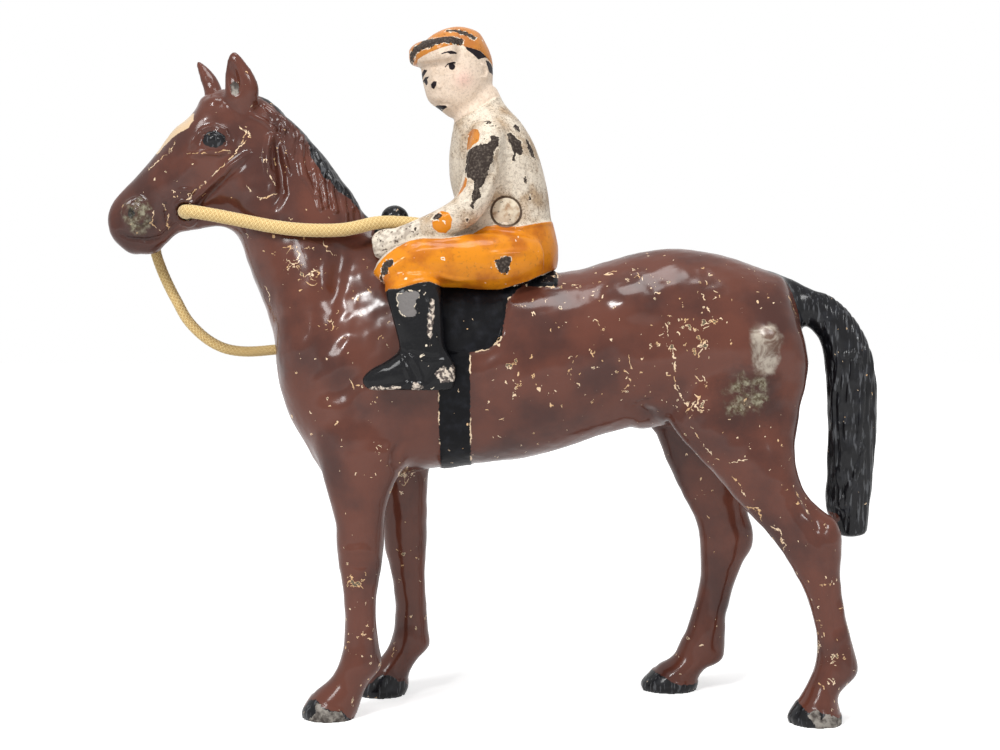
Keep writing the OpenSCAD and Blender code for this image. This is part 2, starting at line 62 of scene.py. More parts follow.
# %% Camera
SENSOR, LENS_SHARE = 36, 1.465
CAMERA_AT, SHIFT = (0.0021, -0.440, 0.1134), -0.048
camera_data = bpy.data.cameras.new("camera")
camera_data.sensor_width = SENSOR
camera_data.lens = SENSOR * LENS_SHARE
camera_data.shift_y = SHIFT
camera_data.clip_start = 0.01
camera = bpy.data.objects.new("camera", camera_data)
camera.location = CAMERA_AT
camera.rotation_euler = (pi / 2, 0, 0)
bpy.context.scene.collection.objects.link(camera)
bpy.context.scene.camera = camera
print("lens:", round(camera_data.lens, 1), "mm")

# %% [markdown]
# ## Helpers for shapes
# Most of the toy is made of soft swelling forms, so each form starts as a loft: a row
# of rings, each one a circle that is pushed into shape, bridged to the next ring. Few
# rings are drawn, and a smooth curve through them gives the ones between.

# %% Rings and lofts
def between(rows, steps):
    """Rows with more rows set between them on a smooth curve."""
    rows = np.array(rows, float)
    padded = np.vstack([2 * rows[0] - rows[1], rows, 2 * rows[-1] - rows[-2]])
    out = []
    for i in range(1, len(padded) - 2):
        before, a, b, after = padded[i - 1:i + 3]
        for k in range(steps):
            t = k / steps
            out.append(0.5 * (2 * a + (b - before) * t
                              + (2 * before - 5 * a + 4 * b - after) * t**2
                              + (3 * a - before - 3 * b + after) * t**3))
    out.append(rows[-1])
    return np.array(out)


def loft(bm, rings):
    """A closed skin over rings that all have the same number of points."""
    loops = []
    for ring in rings:
        circle = bmesh.ops.create_circle(bm, segments=len(ring), radius=1)["verts"]
        for vert, point in zip(circle, ring):
            vert.co = point
        loops.append(list({edge for vert in circle for edge in vert.link_edges}))
    for a, b in zip(loops, loops[1:]):
        bmesh.ops.bridge_loops(bm, edges=a + b)
    bmesh.ops.holes_fill(bm, edges=loops[0] + loops[-1])


def upright_rings(rows, half, sides, grow=0.0):
    """Rings across the middle plane, between a top line and an under line."""
    rings = []
    for top_x, top_z, low_x, low_z, share, pear in rows:
        top, low = np.array([top_x, top_z]), np.array([low_x, low_z])
        out = (top - low) / np.linalg.norm(top - low)
        top, low = top + out * grow, low - out * grow
        middle, reach, width = (top + low) / 2, (top - low) / 2, half * share + grow
        ring = []
        for k in range(sides):
            u, v = cos(2 * pi * k / sides), sin(2 * pi * k / sides)
            x, z = middle + u * reach
            ring.append((x, width * v * (1 - pear * u), z))
        rings.append(ring)
    return rings


def level_rings(rows, sides):
    """Level rings from rows of height, front, back, middle in Y, half width."""
    return [[((front + back) / 2 - cos(2 * pi * k / sides) * (back - front) / 2,
              middle + half * sin(2 * pi * k / sides), z) for k in range(sides)]
            for z, front, back, middle, half in rows]


def tube_rings(points, radii, sides):
    """Round rings square to a path, carried along it without a twist."""
    points = [Vector(p) for p in points]
    rings, side = [], Vector((0, 0.2, 1))
    for i, point in enumerate(points):
        ahead = (points[min(i + 1, len(points) - 1)] - points[max(i - 1, 0)]).normalized()
        side = (side - side.dot(ahead) * ahead).normalized()
        across = ahead.cross(side)
        rings.append([point + float(radii[i]) * (cos(2 * pi * k / sides) * side
                                          + sin(2 * pi * k / sides) * across)
                      for k in range(sides)])
    return rings


def new_piece(name, bm):
    """A mesh object from a bmesh, linked to the scene."""
    bmesh.ops.remove_doubles(bm, verts=bm.verts, dist=1e-6)
    bmesh.ops.recalc_face_normals(bm, faces=bm.faces)
    mesh = bpy.data.meshes.new(name)
    bm.to_mesh(mesh)
    bm.free()
    piece = bpy.data.objects.new(name, mesh)
    bpy.context.scene.collection.objects.link(piece)
    return piece


# %% [markdown]
# ## The reins
# The reins are one 4 mm braided cotton cord. It starts at the knot between the rider's
# hands, runs along the near side to the mouth, goes through the head, hangs in a loop
# on the far side and comes back to the knot. Its route repeats the one of the frame.

# %% Route of the cord
CORD_D = 4.0
MOUTH = (-91.0, 147.4)
KNOT = (-18.8, 0.0, 143.4)
near_route = [
    (-91, -4, 147.4), (-91, -7.4, 147.4), (-90.2, -9.8, 147.4),
    (-88, -11.4, 147.2), (-84.4, -12.2, 146.6), (-79, -12.6, 145.6), (-72, -13.6, 144.2),
    (-64, -15.2, 142.6), (-56, -15.8, 141.6), (-48.5, -15, 141.4), (-43, -13.4, 141.8),
    (-38.6, -11.8, 142.8), (-35, -10.4, 143.8), (-31.6, -9.2, 144.2), (-28.2, -8.3, 144.2),
    (-24.6, -7.8, 144), (-21.6, -7.5, 143.7), (-19.6, -6.5, 143.5), (-18.8, -4.9, 143.4),
    (-18.8, -3.4, 143.4),
]
far_route = [
    (-91, 4, 147.4), (-91, 7.4, 147.4), (-92.6, 10, 147.2), (-96.4, 11.8, 146),
    (-100.6, 12.8, 143.8), (-103.8, 13.2, 140.6), (-104.4, 13.4, 136.8), (-102.8, 13.6, 131.6),
    (-100.6, 13.9, 126.4), (-98, 14.4, 121.2), (-94.8, 15.1, 115.4), (-89.8, 16, 110.2),
    (-84.4, 17, 107), (-78.6, 18, 105.8), (-71.6, 19, 106), (-64, 19.8, 107.2),
    (-57, 20.4, 110.4), (-50.6, 20.4, 115.8), (-45.6, 19.6, 122.8), (-42.2, 17.6, 130.4),
    (-40, 14.8, 137.2), (-38, 12.4, 141.6), (-35, 10.6, 143.8),
] + [(x, -y, z) for x, y, z in near_route[13:]]
route = between(near_route[::-1] + [(-91, 0, 147.4)] + far_route, steps=12)
pieces = np.linalg.norm(np.diff(route, axis=0), axis=1)
CORD_LENGTH = pieces.sum()
print("cord:", round(CORD_LENGTH, 1), "mm")

# %% [markdown]
# The braid is real relief: fourteen rows of strands cross each other in two spirals, and
# the surface is pushed out where a strand lies on top. The cord is a little flat. On the
# near side it lies against the head with its broad side out, and in the far loop the
# camera sees its narrow side, so there the rings are pressed in along the picture.

# %% Braided cord
SPACING = 0.25  # between two rings of the cord
along = np.concatenate([[0], np.cumsum(pieces)])
stations = np.linspace(0, CORD_LENGTH, int(CORD_LENGTH / SPACING))
centres = np.column_stack([np.interp(stations, along, route[:, k]) for k in range(3)])
CORD_SIDES = 56
STRANDS, PITCH, STRAND_DEPTH = 14, 9.1, 0.22
NARROW = 0.82
NARROWS_IN, WIDENS_IN = 12, 20


def braid(angle, length):
    """Height of the braid between 0 and 1, at an angle round it and a place along it."""
    one = np.cos(STRANDS * angle / 2 + 2 * pi * length * STRANDS / 2 / PITCH)
    two = np.cos(STRANDS * angle / 2 - 2 * pi * length * STRANDS / 2 / PITCH)
    over = 0.5 + 0.5 * np.tanh(3 * np.sin(2 * pi * length * STRANDS / PITCH / 2)
                               * np.sin(STRANDS * angle / 2))
    return over * one**2 + (1 - over) * two**2


def braided_cord(name, centres, stations, radius, sides, narrow=None):
    """A cord along a line, with its braid kept on its points as a number too."""
    bm = bmesh.new()
    angles = 2 * pi * np.arange(sides) / sides
    narrow = np.ones(len(centres)) if narrow is None else narrow
    shaped, heights = [], []
    for centre, place, share, ring in zip(centres, stations, narrow,
                                          tube_rings(centres, [radius] * len(centres), sides)):
        high = braid(angles, place)
        heights.append(high)
        middle = Vector(centre)
        pressed = []
        for point, h in zip(ring, high):
            out = (point - middle) * (1 - STRAND_DEPTH * (1 - h) / radius)
            pressed.append(middle + Vector((out.x * share, out.y, out.z * share)))
        shaped.append(pressed)
    loft(bm, shaped)
    bm.transform(Matrix.Scale(MM, 4))
    piece = new_piece(name, bm)
    layer = piece.data.attributes.new("braid", "FLOAT", "POINT")
    layer.data.foreach_set("value", np.concatenate(heights).astype(np.float32))
    return piece


mouth_at = stations[np.argmin(np.linalg.norm(centres - (MOUTH[0], 0, MOUTH[1]), axis=1))]
far_share = (np.clip((stations - mouth_at - CORD_D) / NARROWS_IN, 0, 1)
             * np.clip((CORD_LENGTH - stations) / WIDENS_IN, 0, 1))
far_share = far_share * far_share * (3 - 2 * far_share)
reins = braided_cord("reins", centres, stations, CORD_D / 2, CORD_SIDES,
                     1 - (1 - NARROW) * far_share)
print("reins:", len(reins.data.polygons), "faces")

# %% [markdown]
# ## Carving tools
# A sculptor would push this surface with brushes. The same can be done in code: the
# points of the mesh are read once, each stroke moves those near its line outwards or
# inwards, and the points go back to the mesh at the end. A stroke is seen from one
# side, like a line drawn on a photograph, and only moves the skin that faces that way.

# %% Carving
class Carving:
    """The points of a mesh, with strokes that push them in and out."""

    def __init__(self, piece):
        self.piece = piece
        count = len(piece.data.vertices)
        self.points = np.empty(count * 3)
        piece.data.vertices.foreach_get("co", self.points)
        self.points = self.points.reshape(-1, 3)
        self.look()

    def look(self):
        """Writes the points to the mesh and reads its normals again."""
        self.piece.data.vertices.foreach_set("co", self.points.ravel())
        self.piece.data.update()
        self.normals = np.empty(len(self.points) * 3)
        self.piece.data.vertex_normals.foreach_get("vector", self.normals)
        self.normals = self.normals.reshape(-1, 3)

    def seen(self, view):
        """Places in the view's plane, and which points face it."""
        origin, right, up, out = view
        offset = self.points - origin
        flat = np.column_stack([offset @ right, offset @ up])
        return flat, (offset @ out > 0), self.normals @ out

    def stroke(self, view, path, height, width, facing=0.05, sharp=2):
        """Raises (or with a minus sinks) a line. A third number in the path scales it."""
        path = np.array([p if len(p) > 2 else (*p, 1.0) for p in path], float)
        flat, front, towards = self.seen(view)
        low, high = path[:, :2].min(0) - width, path[:, :2].max(0) + width
        near = np.where(front & (towards > facing) & (flat > low).all(1)
                        & (flat < high).all(1))[0]
        if not len(near):
            return
        spot = flat[near]
        best, share = np.full(len(near), 1e9), np.ones(len(near))
        for a, b in zip(path, path[1:]):
            run = b[:2] - a[:2]
            t = np.clip(((spot - a[:2]) @ run) / max(run @ run, 1e-9), 0, 1)
            away = np.linalg.norm(spot - (a[:2] + t[:, None] * run), axis=1)
            closer = away < best
            best[closer] = away[closer]
            share[closer] = (a[2] + t * (b[2] - a[2]))[closer]
        fall = np.clip(1 - (best / width) ** 2, 0, 1) ** sharp
        fade = np.clip((towards[near] - facing) / 0.25, 0, 1)
        self.points[near] += self.normals[near] * (height * share * fall * fade)[:, None]

    def mound(self, view, at, size, height, tilt=0.0, facing=0.0):
        """Raises an oval swelling, or sinks a hollow."""
        flat, front, towards = self.seen(view)
        offset = flat - np.array(at)
        c, s = cos(radians(tilt)), sin(radians(tilt))
        u = (offset[:, 0] * c + offset[:, 1] * s) / size[0]
        v = (-offset[:, 0] * s + offset[:, 1] * c) / size[1]
        fall = np.clip(1 - (u * u + v * v), 0, 1) ** 2
        fall *= front * np.clip((towards - facing) / 0.3, 0, 1)
        self.points += self.normals * (height * fall)[:, None]

    def carve(self, view, mounds, strokes, sharp=2):
        """Raises all the mounds and then the strokes."""
        for at, size, height, tilt in mounds:
            self.mound(view, at, size, height, tilt)
            self.look()
        for height, width, path in strokes:
            self.stroke(view, path, height, width, sharp=sharp)

    def grab(self, at, size, move, side=0):
        """Drags an oval place along in X and Z, through the whole piece or on one side."""
        u = (self.points[:, 0] - at[0]) / size[0]
        v = (self.points[:, 2] - at[1]) / size[1]
        pull = np.clip(1 - (u * u + v * v), 0, 1) ** 2
        if side:
            pull *= np.clip(self.points[:, 1] * side / 3, 0, 1)
        self.points[:, 0] += move[0] * pull
        self.points[:, 2] += move[1] * pull


# Each view: where it starts, what is right in it, what is up, and the way to the viewer
NEAR_SIDE, FAR_SIDE = (tuple(np.array(v, float) for v in ((0, 0, 0), (1, 0, 0), (0, 0, 1), out))
                       for out in ((0, -1, 0), (0, 1, 0)))
BOTH = (NEAR_SIDE, FAR_SIDE)


def inside(flat, outline):
    """How far each place lies inside an outline; places outside it are negative."""
    outline = np.array(outline, float)
    best, within = np.full(len(flat), 1e9), np.zeros(len(flat), bool)
    for a, b in zip(outline, np.roll(outline, -1, axis=0)):
        run = b - a
        t = np.clip(((flat - a) @ run) / (run @ run), 0, 1)
        best = np.minimum(best, np.linalg.norm(flat - (a + t[:, None] * run), axis=1))
        crosses = (a[1] > flat[:, 1]) != (b[1] > flat[:, 1])
        with np.errstate(divide="ignore", invalid="ignore"):
            at = a[0] + (flat[:, 1] - a[1]) * run[0] / run[1]
        within ^= crosses & (flat[:, 0] < at)
    return np.where(within, best, -best)


def step(value, low, high):
    """A smooth rise from 0 at low to 1 at high."""
    t = np.clip((value - low) / (high - low), 0, 1)
    return t * t * (3 - 2 * t)


def finish_mesh(piece):
    """Applies the piece's modifiers."""
    view = bpy.context.evaluated_depsgraph_get()
    mesh = bpy.data.meshes.new_from_object(piece.evaluated_get(view))
    piece.modifiers.clear()
    piece.data = mesh


def cut_away(piece, tool, solver="EXACT"):
    """Takes the tool's form out of the piece."""
    cut = piece.modifiers.new("cut", "BOOLEAN")
    cut.operation = "DIFFERENCE"
    cut.object = tool
    cut.solver = solver
    finish_mesh(piece)


def remesh(piece, voxel):
    """One even skin over everything in the piece."""
    skin = piece.modifiers.new("skin", "REMESH")
    skin.mode = "VOXEL"
    skin.voxel_size = voxel
    finish_mesh(piece)


def soften(piece, rounds, where=None):
    """Smooths the piece, everywhere or by a weight for each point."""
    smooth = piece.modifiers.new("soften", "SMOOTH")
    smooth.factor = 0.5
    smooth.iterations = rounds
    if where is not None:
        group = piece.vertex_groups.new(name="soften")
        levels = np.round(np.clip(where, 0, 1) * 10).astype(int)
        for level in range(1, 11):
            group.add(np.where(levels == level)[0].tolist(), level / 10, "REPLACE")
        smooth.vertex_group = "soften"
    finish_mesh(piece)
    piece.vertex_groups.clear()


# %% [markdown]
# ## The horse's main forms
# The rows below are the ones that the frame's solids are drawn with: places on the top
# line and the under line of the trunk and head, and heights up each leg. The legs and
# the tail run into the trunk, and a voxel skin then makes one surface of them all.

# %% Rows of the horse
BARREL, HEAD_HALF = 22.5, 10.8
FRONT_STANCE, HIND_STANCE, HALF_HOOF, HALF_TAIL = 27, 39, 7.2, 4.5
# Trunk and head: top X, top Z, under X, under Z, share of the half width, pear shape
TRUNK_ROWS = [
    (91.6, 111.4, 91.8, 99.4, 0.20, 0), (90.6, 117, 91, 93.4, 0.50, 0),
    (88.4, 123, 89, 88.4, 0.74, 0), (84.5, 128.7, 84, 84.9, 0.88, 0),
    (77.5, 132, 77, 82.9, 0.95, 0.02), (69.8, 134.7, 69, 82.4, 0.98, 0.05),
    (60.4, 136.4, 60, 83.8, 0.97, 0.08), (52.4, 137, 51.7, 84, 0.95, 0.08),
    (43, 135.6, 43, 84, 0.94, 0.05), (33.6, 133, 34, 82, 0.97, 0.03),
    (24, 130.2, 25, 79, 0.995, 0.02), (12, 129.2, 12, 75.2, 1.01, 0.02),
    (0, 130.4, 0, 73.4, 1.005, 0.04), (-12, 133.8, -12, 71.8, 0.98, 0.10),
    (-22, 138.2, -24, 70.2, 0.945, 0.20), (-31, 143.4, -34, 68.8, 0.90, 0.30),
    (-37.5, 146.5, -43, 67.8, 0.86, 0.38), (-40.4, 150, -50.6, 69.2, 0.82, 0.40),
    (-43, 153.5, -56, 78.4, 0.79, 0.36), (-45.6, 157.1, -60.4, 87.4, 0.745, 0.32),
    (-49, 161.7, -63.6, 97, 0.69, 0.28), (-52, 165.5, -64.5, 104.4, 0.635, 0.25),
    (-55, 168.9, -65.4, 110.8, 0.59, 0.24), (-58, 172.3, -67.9, 118.4, 0.55, 0.24),
    (-61, 175.6, -71.4, 127.1, 0.515, 0.25), (-64.6, 179.6, -73.8, 133.8, 0.485, 0.24),
    (-69.4, 182.8, -76.3, 140.4, 0.465, 0.15),
]

HEAD_ROWS = [
    (-75, 184, -78.6, 142.6, 0.96, 0.02), (-80.5, 184.8, -81, 143.4, 0.98, -0.10),
    (-85.4, 183.2, -84.4, 143.6, 1.00, -0.18), (-88.8, 179.4, -88, 143, 0.99, -0.22),
    (-92.2, 176, -91.2, 142.4, 0.93, -0.22), (-95.8, 172.2, -94.1, 141.6, 0.85, -0.20),
    (-99.4, 167.6, -96.6, 140.6, 0.77, -0.15), (-102.9, 163.1, -99.4, 138.5, 0.70, -0.08),
    (-106.8, 158.8, -102.2, 136.7, 0.65, 0), (-110.4, 155.2, -104.9, 135.4, 0.63, 0.05),
    (-113.4, 151.8, -107.8, 135, 0.61, 0.05), (-115, 148.4, -111, 136.6, 0.52, 0),
    (-115.5, 145.4, -113.6, 139.4, 0.34, 0),
]

# Legs: height, front, back, share of the stance, half width
NEAR_FRONT_ROWS = [
    (0, -55.4, -40.0, 1, HALF_HOOF), (1.6, -55.2, -39.6, 1, HALF_HOOF * 0.98),
    (4.4, -53.4, -38.6, 1, HALF_HOOF * 0.90), (7.2, -51.6, -37.8, 1, HALF_HOOF * 0.82),
    (10.2, -47.6, -36.4, 0.99, 5), (14.3, -45, -32.6, 0.99, 5.5), (17.4, -43.9, -32.8, 0.98, 5.2),
    (23.4, -43, -33.8, 0.98, 4.5), (31.4, -43, -34.3, 0.97, 4.4), (39.9, -43.9, -33.3, 0.97, 4.7),
    (44.4, -44.8, -32.4, 0.96, 5.5), (50.4, -45.3, -31.9, 0.96, 5.9), (57.4, -45.8, -31.5, 0.95, 6),
    (63.7, -46.9, -30.2, 0.95, 6.8), (69.4, -48.8, -27.4, 0.95, 7.6),
    (76.4, -51.8, -23.5, 0.93, 8.3), (85.4, -53.5, -20.5, 0.88, 8.6), (95.4, -51.5, -20, 0.78, 8.6),
    (104.4, -46, -23, 0.65, 7),
]

FAR_FRONT_ROWS = [
    (0, -41.8, -27.2, 1, HALF_HOOF), (1.6, -41.6, -27, 1, HALF_HOOF * 0.98),
    (4.4, -40.2, -26.6, 1, HALF_HOOF * 0.90), (7.2, -38.4, -26, 1, HALF_HOOF * 0.82),
    (10.8, -34.8, -23.6, 0.99, 5), (15, -31.9, -19.9, 0.99, 5.5), (18.4, -30.9, -20.2, 0.98, 5.2),
    (26.4, -30, -20.8, 0.98, 4.5), (34.1, -30.8, -21.2, 0.97, 4.4), (40.4, -32, -21.2, 0.97, 4.9),
    (45.4, -33.3, -20.9, 0.96, 5.6), (51.4, -34, -20.7, 0.96, 5.9), (57.4, -34.8, -20.6, 0.95, 6),
    (63.7, -36.4, -20.3, 0.95, 6.8), (69.4, -39, -19.6, 0.95, 7.6), (76.4, -43.5, -18.4, 0.93, 8.3),
    (85.4, -47, -17.4, 0.88, 8.6), (95.4, -47, -18, 0.78, 8.6), (104.4, -43, -22, 0.65, 7),
]

NEAR_HIND_ROWS = [
    (0, 84.8, 99.9, 1, HALF_HOOF), (1.6, 85.3, 99.8, 1, HALF_HOOF * 0.98),
    (4.4, 87, 99.2, 1, HALF_HOOF * 0.90), (7.4, 88.8, 98.6, 1, HALF_HOOF * 0.82),
    (10.4, 90.6, 100.6, 0.99, 5.1), (14.5, 92.3, 104.8, 0.99, 5.5), (18.4, 93.3, 104.2, 0.98, 5.1),
    (25.8, 93.2, 102.2, 0.98, 4.4), (35.1, 90.8, 100.1, 0.98, 4.4), (41.3, 88, 99.6, 0.97, 4.8),
    (46.4, 85, 99.9, 0.96, 5.2), (52, 81, 100.2, 0.95, 5.4), (56.6, 77, 99.4, 0.94, 5.4),
    (60.4, 73.1, 94.8, 0.92, 5.6), (64.4, 69.4, 91, 0.90, 6.1), (70.4, 64.2, 88.4, 0.86, 7.2),
    (78.4, 57, 87.9, 0.78, 8.8), (86.4, 51.4, 89.2, 0.69, 10), (97.4, 51, 90.8, 0.60, 10.4),
    (108.4, 54, 89.6, 0.52, 10), (116.4, 60, 85, 0.45, 8),
]

FAR_HIND_ROWS = [
    (0, 46.2, 63.5, 1, HALF_HOOF), (1.6, 46.6, 63.6, 1, HALF_HOOF * 0.98),
    (4.4, 49, 64.2, 1, HALF_HOOF * 0.90), (7.4, 52, 67, 1, HALF_HOOF * 0.82),
    (10.4, 55.8, 71.4, 0.99, 5.1), (14.4, 58.6, 72.2, 0.99, 5.5), (18.4, 60.7, 72.4, 0.98, 5.1),
    (26, 63.2, 73, 0.98, 4.4), (32.8, 64.8, 74.5, 0.98, 4.4), (38.4, 65.4, 77, 0.97, 4.8),
    (43.8, 65.4, 80.3, 0.96, 5.2), (48.4, 65, 81.1, 0.95, 5.4), (53.4, 63.4, 80, 0.94, 5.4),
    (58.4, 61.2, 79, 0.92, 5.6), (63.4, 58.8, 79.6, 0.90, 6.1), (70.4, 54.2, 81.8, 0.86, 7.2),
    (77.4, 51.4, 85.6, 0.79, 8.6), (85.4, 48.4, 88.6, 0.70, 9.8), (96.4, 48.6, 90.4, 0.60, 10.4),
    (108.4, 55, 89, 0.52, 10), (116.4, 60, 85, 0.45, 8),
]

# Tail: outer X, outer Z, inner X, inner Z, share of the half width
TAIL_ROWS = [
    (80, 128.4, 88, 116.4, 0.6), (88, 127, 91, 115.4, 0.75), (93.8, 125.4, 93.4, 113.6, 0.88),
    (100, 123.8, 95.7, 112, 0.95), (105.4, 119.8, 98.1, 109.4, 1), (110.2, 113.6, 99.6, 105, 1),
    (113.2, 106.8, 100.3, 99.4, 1), (114.9, 97.6, 100.5, 91.9, 1), (115.2, 86, 100.5, 82.4, 1),
    (114.3, 74.1, 100.5, 71.4, 0.98), (113.1, 62.3, 100.8, 60.4, 0.92), (112, 51.2, 103.6, 51, 0.8),
]

# %% Main forms of the horse
FIRST_VOXEL, HORSE_VOXEL = 1.0, 0.75
bm = bmesh.new()
body = np.array(TRUNK_ROWS + [row[:4] + (row[4] * HEAD_HALF / BARREL, row[5])
                              for row in HEAD_ROWS], float)
loft(bm, upright_rings(between(body, steps=3), BARREL, sides=72))
for rows, stance, side in ((NEAR_FRONT_ROWS, FRONT_STANCE, -1), (FAR_FRONT_ROWS, FRONT_STANCE, 1),
                           (NEAR_HIND_ROWS, HIND_STANCE, -1), (FAR_HIND_ROWS, HIND_STANCE, 1)):
    rows = [(z, front, back, side * share * stance / 2, half)
            for z, front, back, share, half in rows]
    loft(bm, level_rings(between(rows, steps=3), sides=40))
tail = [(x, z, inner_x, inner_z, share, 0) for x, z, inner_x, inner_z, share in TAIL_ROWS]
loft(bm, upright_rings(between(tail, steps=4), HALF_TAIL, sides=32))
horse = new_piece("horse", bm)
remesh(horse, FIRST_VOXEL)


def hill(x, z, at, size):
    """A round hill in the side view: 1 on its top, falling to 0 around it."""
    return np.exp(-(((x - at[0]) / size[0]) ** 2 + ((z - at[1]) / size[1]) ** 2))


def junctions(piece):
    """Weights for the places where legs and tail run into the body."""
    points = np.empty(len(piece.data.vertices) * 3)
    piece.data.vertices.foreach_get("co", points)
    x, y, z = points.reshape(-1, 3).T
    shoulder = hill(x, z, (-38, 82), (20, 26))
    thigh = hill(x, z, (68, 92), (24, 26))
    dock = hill(x, z, (91, 120), (6, 10))
    throat = hill(x, z, (-74, 146), (8, 12)) * 0.7
    return np.clip(1.5 * (shoulder + thigh + dock + throat), 0, 1)


soften(horse, rounds=40, where=junctions(horse))
remesh(horse, HORSE_VOXEL)
soften(horse, rounds=6)
print("horse:", len(horse.data.polygons), "faces")

# %% [markdown]
# ## Ears and pommel
# The ears are thin, so they join after the first skin: a coarse skin would eat them. Each
# one is a loft of flat ovals. The pommel is a short neck with a round knob on top. One
# finer skin then melts everything into a single casting.

# %% Ears and pommel
# Ears: height, front, back, middle in Y, half width
NEAR_EAR_ROWS = [
    (174, -77, -69.5, -4.2, 3.6), (177.8, -78.5, -70, -5.2, 3.4), (180.6, -79.7, -69.6, -5.9, 3.2),
    (183.9, -79.1, -69.2, -6.6, 3), (187.7, -78.9, -70.3, -7.3, 2.7),
    (190.9, -78.4, -71.9, -7.8, 2), (193.3, -77.8, -74.1, -8.2, 1.3),
    (194.6, -76.9, -76, -8.3, 0.6),
]
FAR_EAR_ROWS = [
    (175, -84.5, -78.5, 4, 3.2), (179.4, -86.2, -80.4, 4.8, 3), (182.8, -87.3, -81.5, 5.5, 2.8),
    (185.2, -87.8, -82.3, 6.2, 2.6), (188.6, -88.7, -83.8, 7, 2.2), (191.5, -89.6, -85.8, 7.6, 1.7),
    (193.9, -90.5, -88.2, 8, 1), (194.7, -90.2, -89.5, 8.1, 0.6),
]
POMMEL_NECK = [(-23.4, 0, 136), (-27, 0, 140.7), (-29.4, 0, 144.7)]
NECK_RADII = (3.4, 4.0, 4.3)
KNOB, KNOB_RADIUS = (-29.4, 0, 145.6), 4.3

bm = bmesh.new()
bm.from_mesh(horse.data)
for rows in (NEAR_EAR_ROWS, FAR_EAR_ROWS):
    loft(bm, level_rings(between(rows, steps=4), sides=28))
loft(bm, tube_rings(POMMEL_NECK, NECK_RADII, sides=28))
bmesh.ops.create_uvsphere(bm, u_segments=36, v_segments=18, radius=KNOB_RADIUS,
                          matrix=Matrix.Translation(KNOB))
bm.to_mesh(horse.data)
bm.free()
remesh(horse, HORSE_VOXEL)
soften(horse, rounds=5)
print("horse:", len(horse.data.polygons), "faces")

# %% [markdown]
# ## Saddle and girth
# Both are cast on, so they are the same skin raised a little: every point whose place in
# the side view lies inside the flap's outline moves out by a millimetre, and a band
# under the belly moves out by half of that.

# %% Saddle and girth
SADDLE_OUTLINE = [
    (19, 125), (12, 125.2), (8.6, 125.6), (4.3, 121.3), (2.5, 110), (-1.4, 106.9), (-8.4, 105.8),
    (-15, 105.8), (-17, 116.4), (-25, 130.4), (-35, 140.4), (-36, 152.4), (19, 140.4),
]
SADDLE_RISE, GIRTH_RISE, GIRTH_X, GIRTH_HALF, GIRTH_TOP = 1.0, 0.5, -10.9, 4.5, 110
POMMEL_GAP = 0.4


def to_segment(points, a, b):
    """How far each point is from a straight piece of line."""
    a, b = np.array(a, float), np.array(b, float)
    t = np.clip(((points - a) @ (b - a)) / ((b - a) @ (b - a)), 0, 1)
    return np.linalg.norm(points - (a + t[:, None] * (b - a)), axis=1)


def saddle_depth(points):
    """How far each point lies inside the saddle's outline, away from the pommel."""
    flat = points[:, [0, 2]]
    pommel = to_segment(points, POMMEL_NECK[0], KNOB) - KNOB_RADIUS - POMMEL_GAP
    return np.minimum(inside(flat, SADDLE_OUTLINE), pommel)


def girth_depth(points):
    """How far each point lies inside the girth strap."""
    x, y, z = points.T
    return np.minimum(GIRTH_HALF - np.abs(x - GIRTH_X), GIRTH_TOP - z)


work = Carving(horse)
rise = SADDLE_RISE * step(saddle_depth(work.points), -0.35, 0.35)
strap = GIRTH_RISE * step(girth_depth(work.points), -0.3, 0.3)
work.points += work.normals * np.maximum(rise, strap)[:, None]
work.look()
print("saddle: raised", int((rise > 0.5).sum()), "points")

# %% [markdown]
# ## Finer cells where the carving is fine
# The head, the mane and the tail carry lines narrower than a millimetre. Their cells are
# cut in four before the carving starts; the smooth barrel keeps its larger cells.

# %% Finer cells
def refine(piece, where):
    """Cuts the faces in four whose corners all pass the test."""
    bm = bmesh.new()
    bm.from_mesh(piece.data)
    edges = [edge for edge in bm.edges if where(edge.verts[0].co) and where(edge.verts[1].co)]
    bmesh.ops.subdivide_edges(bm, edges=edges, cuts=1, use_grid_fill=True, smooth=0)
    bm.to_mesh(piece.data)
    bm.free()


refine(horse, lambda p: (p.z > 130 and p.x < -42 and p.z + p.x > 92) or p.x > 96)
print("horse:", len(horse.data.polygons), "faces")

# %% [markdown]
# ## The head
# The photograph shows the near side, so every stroke below is a place on that side, in
# millimetres. The casting is nearly the same on the far side, which gets them mirrored.
# Mounds make the brow, the eyeball, the cheek and the nostril; lines make the lids, the
# veins, the wrinkles of the lips and the mouth.

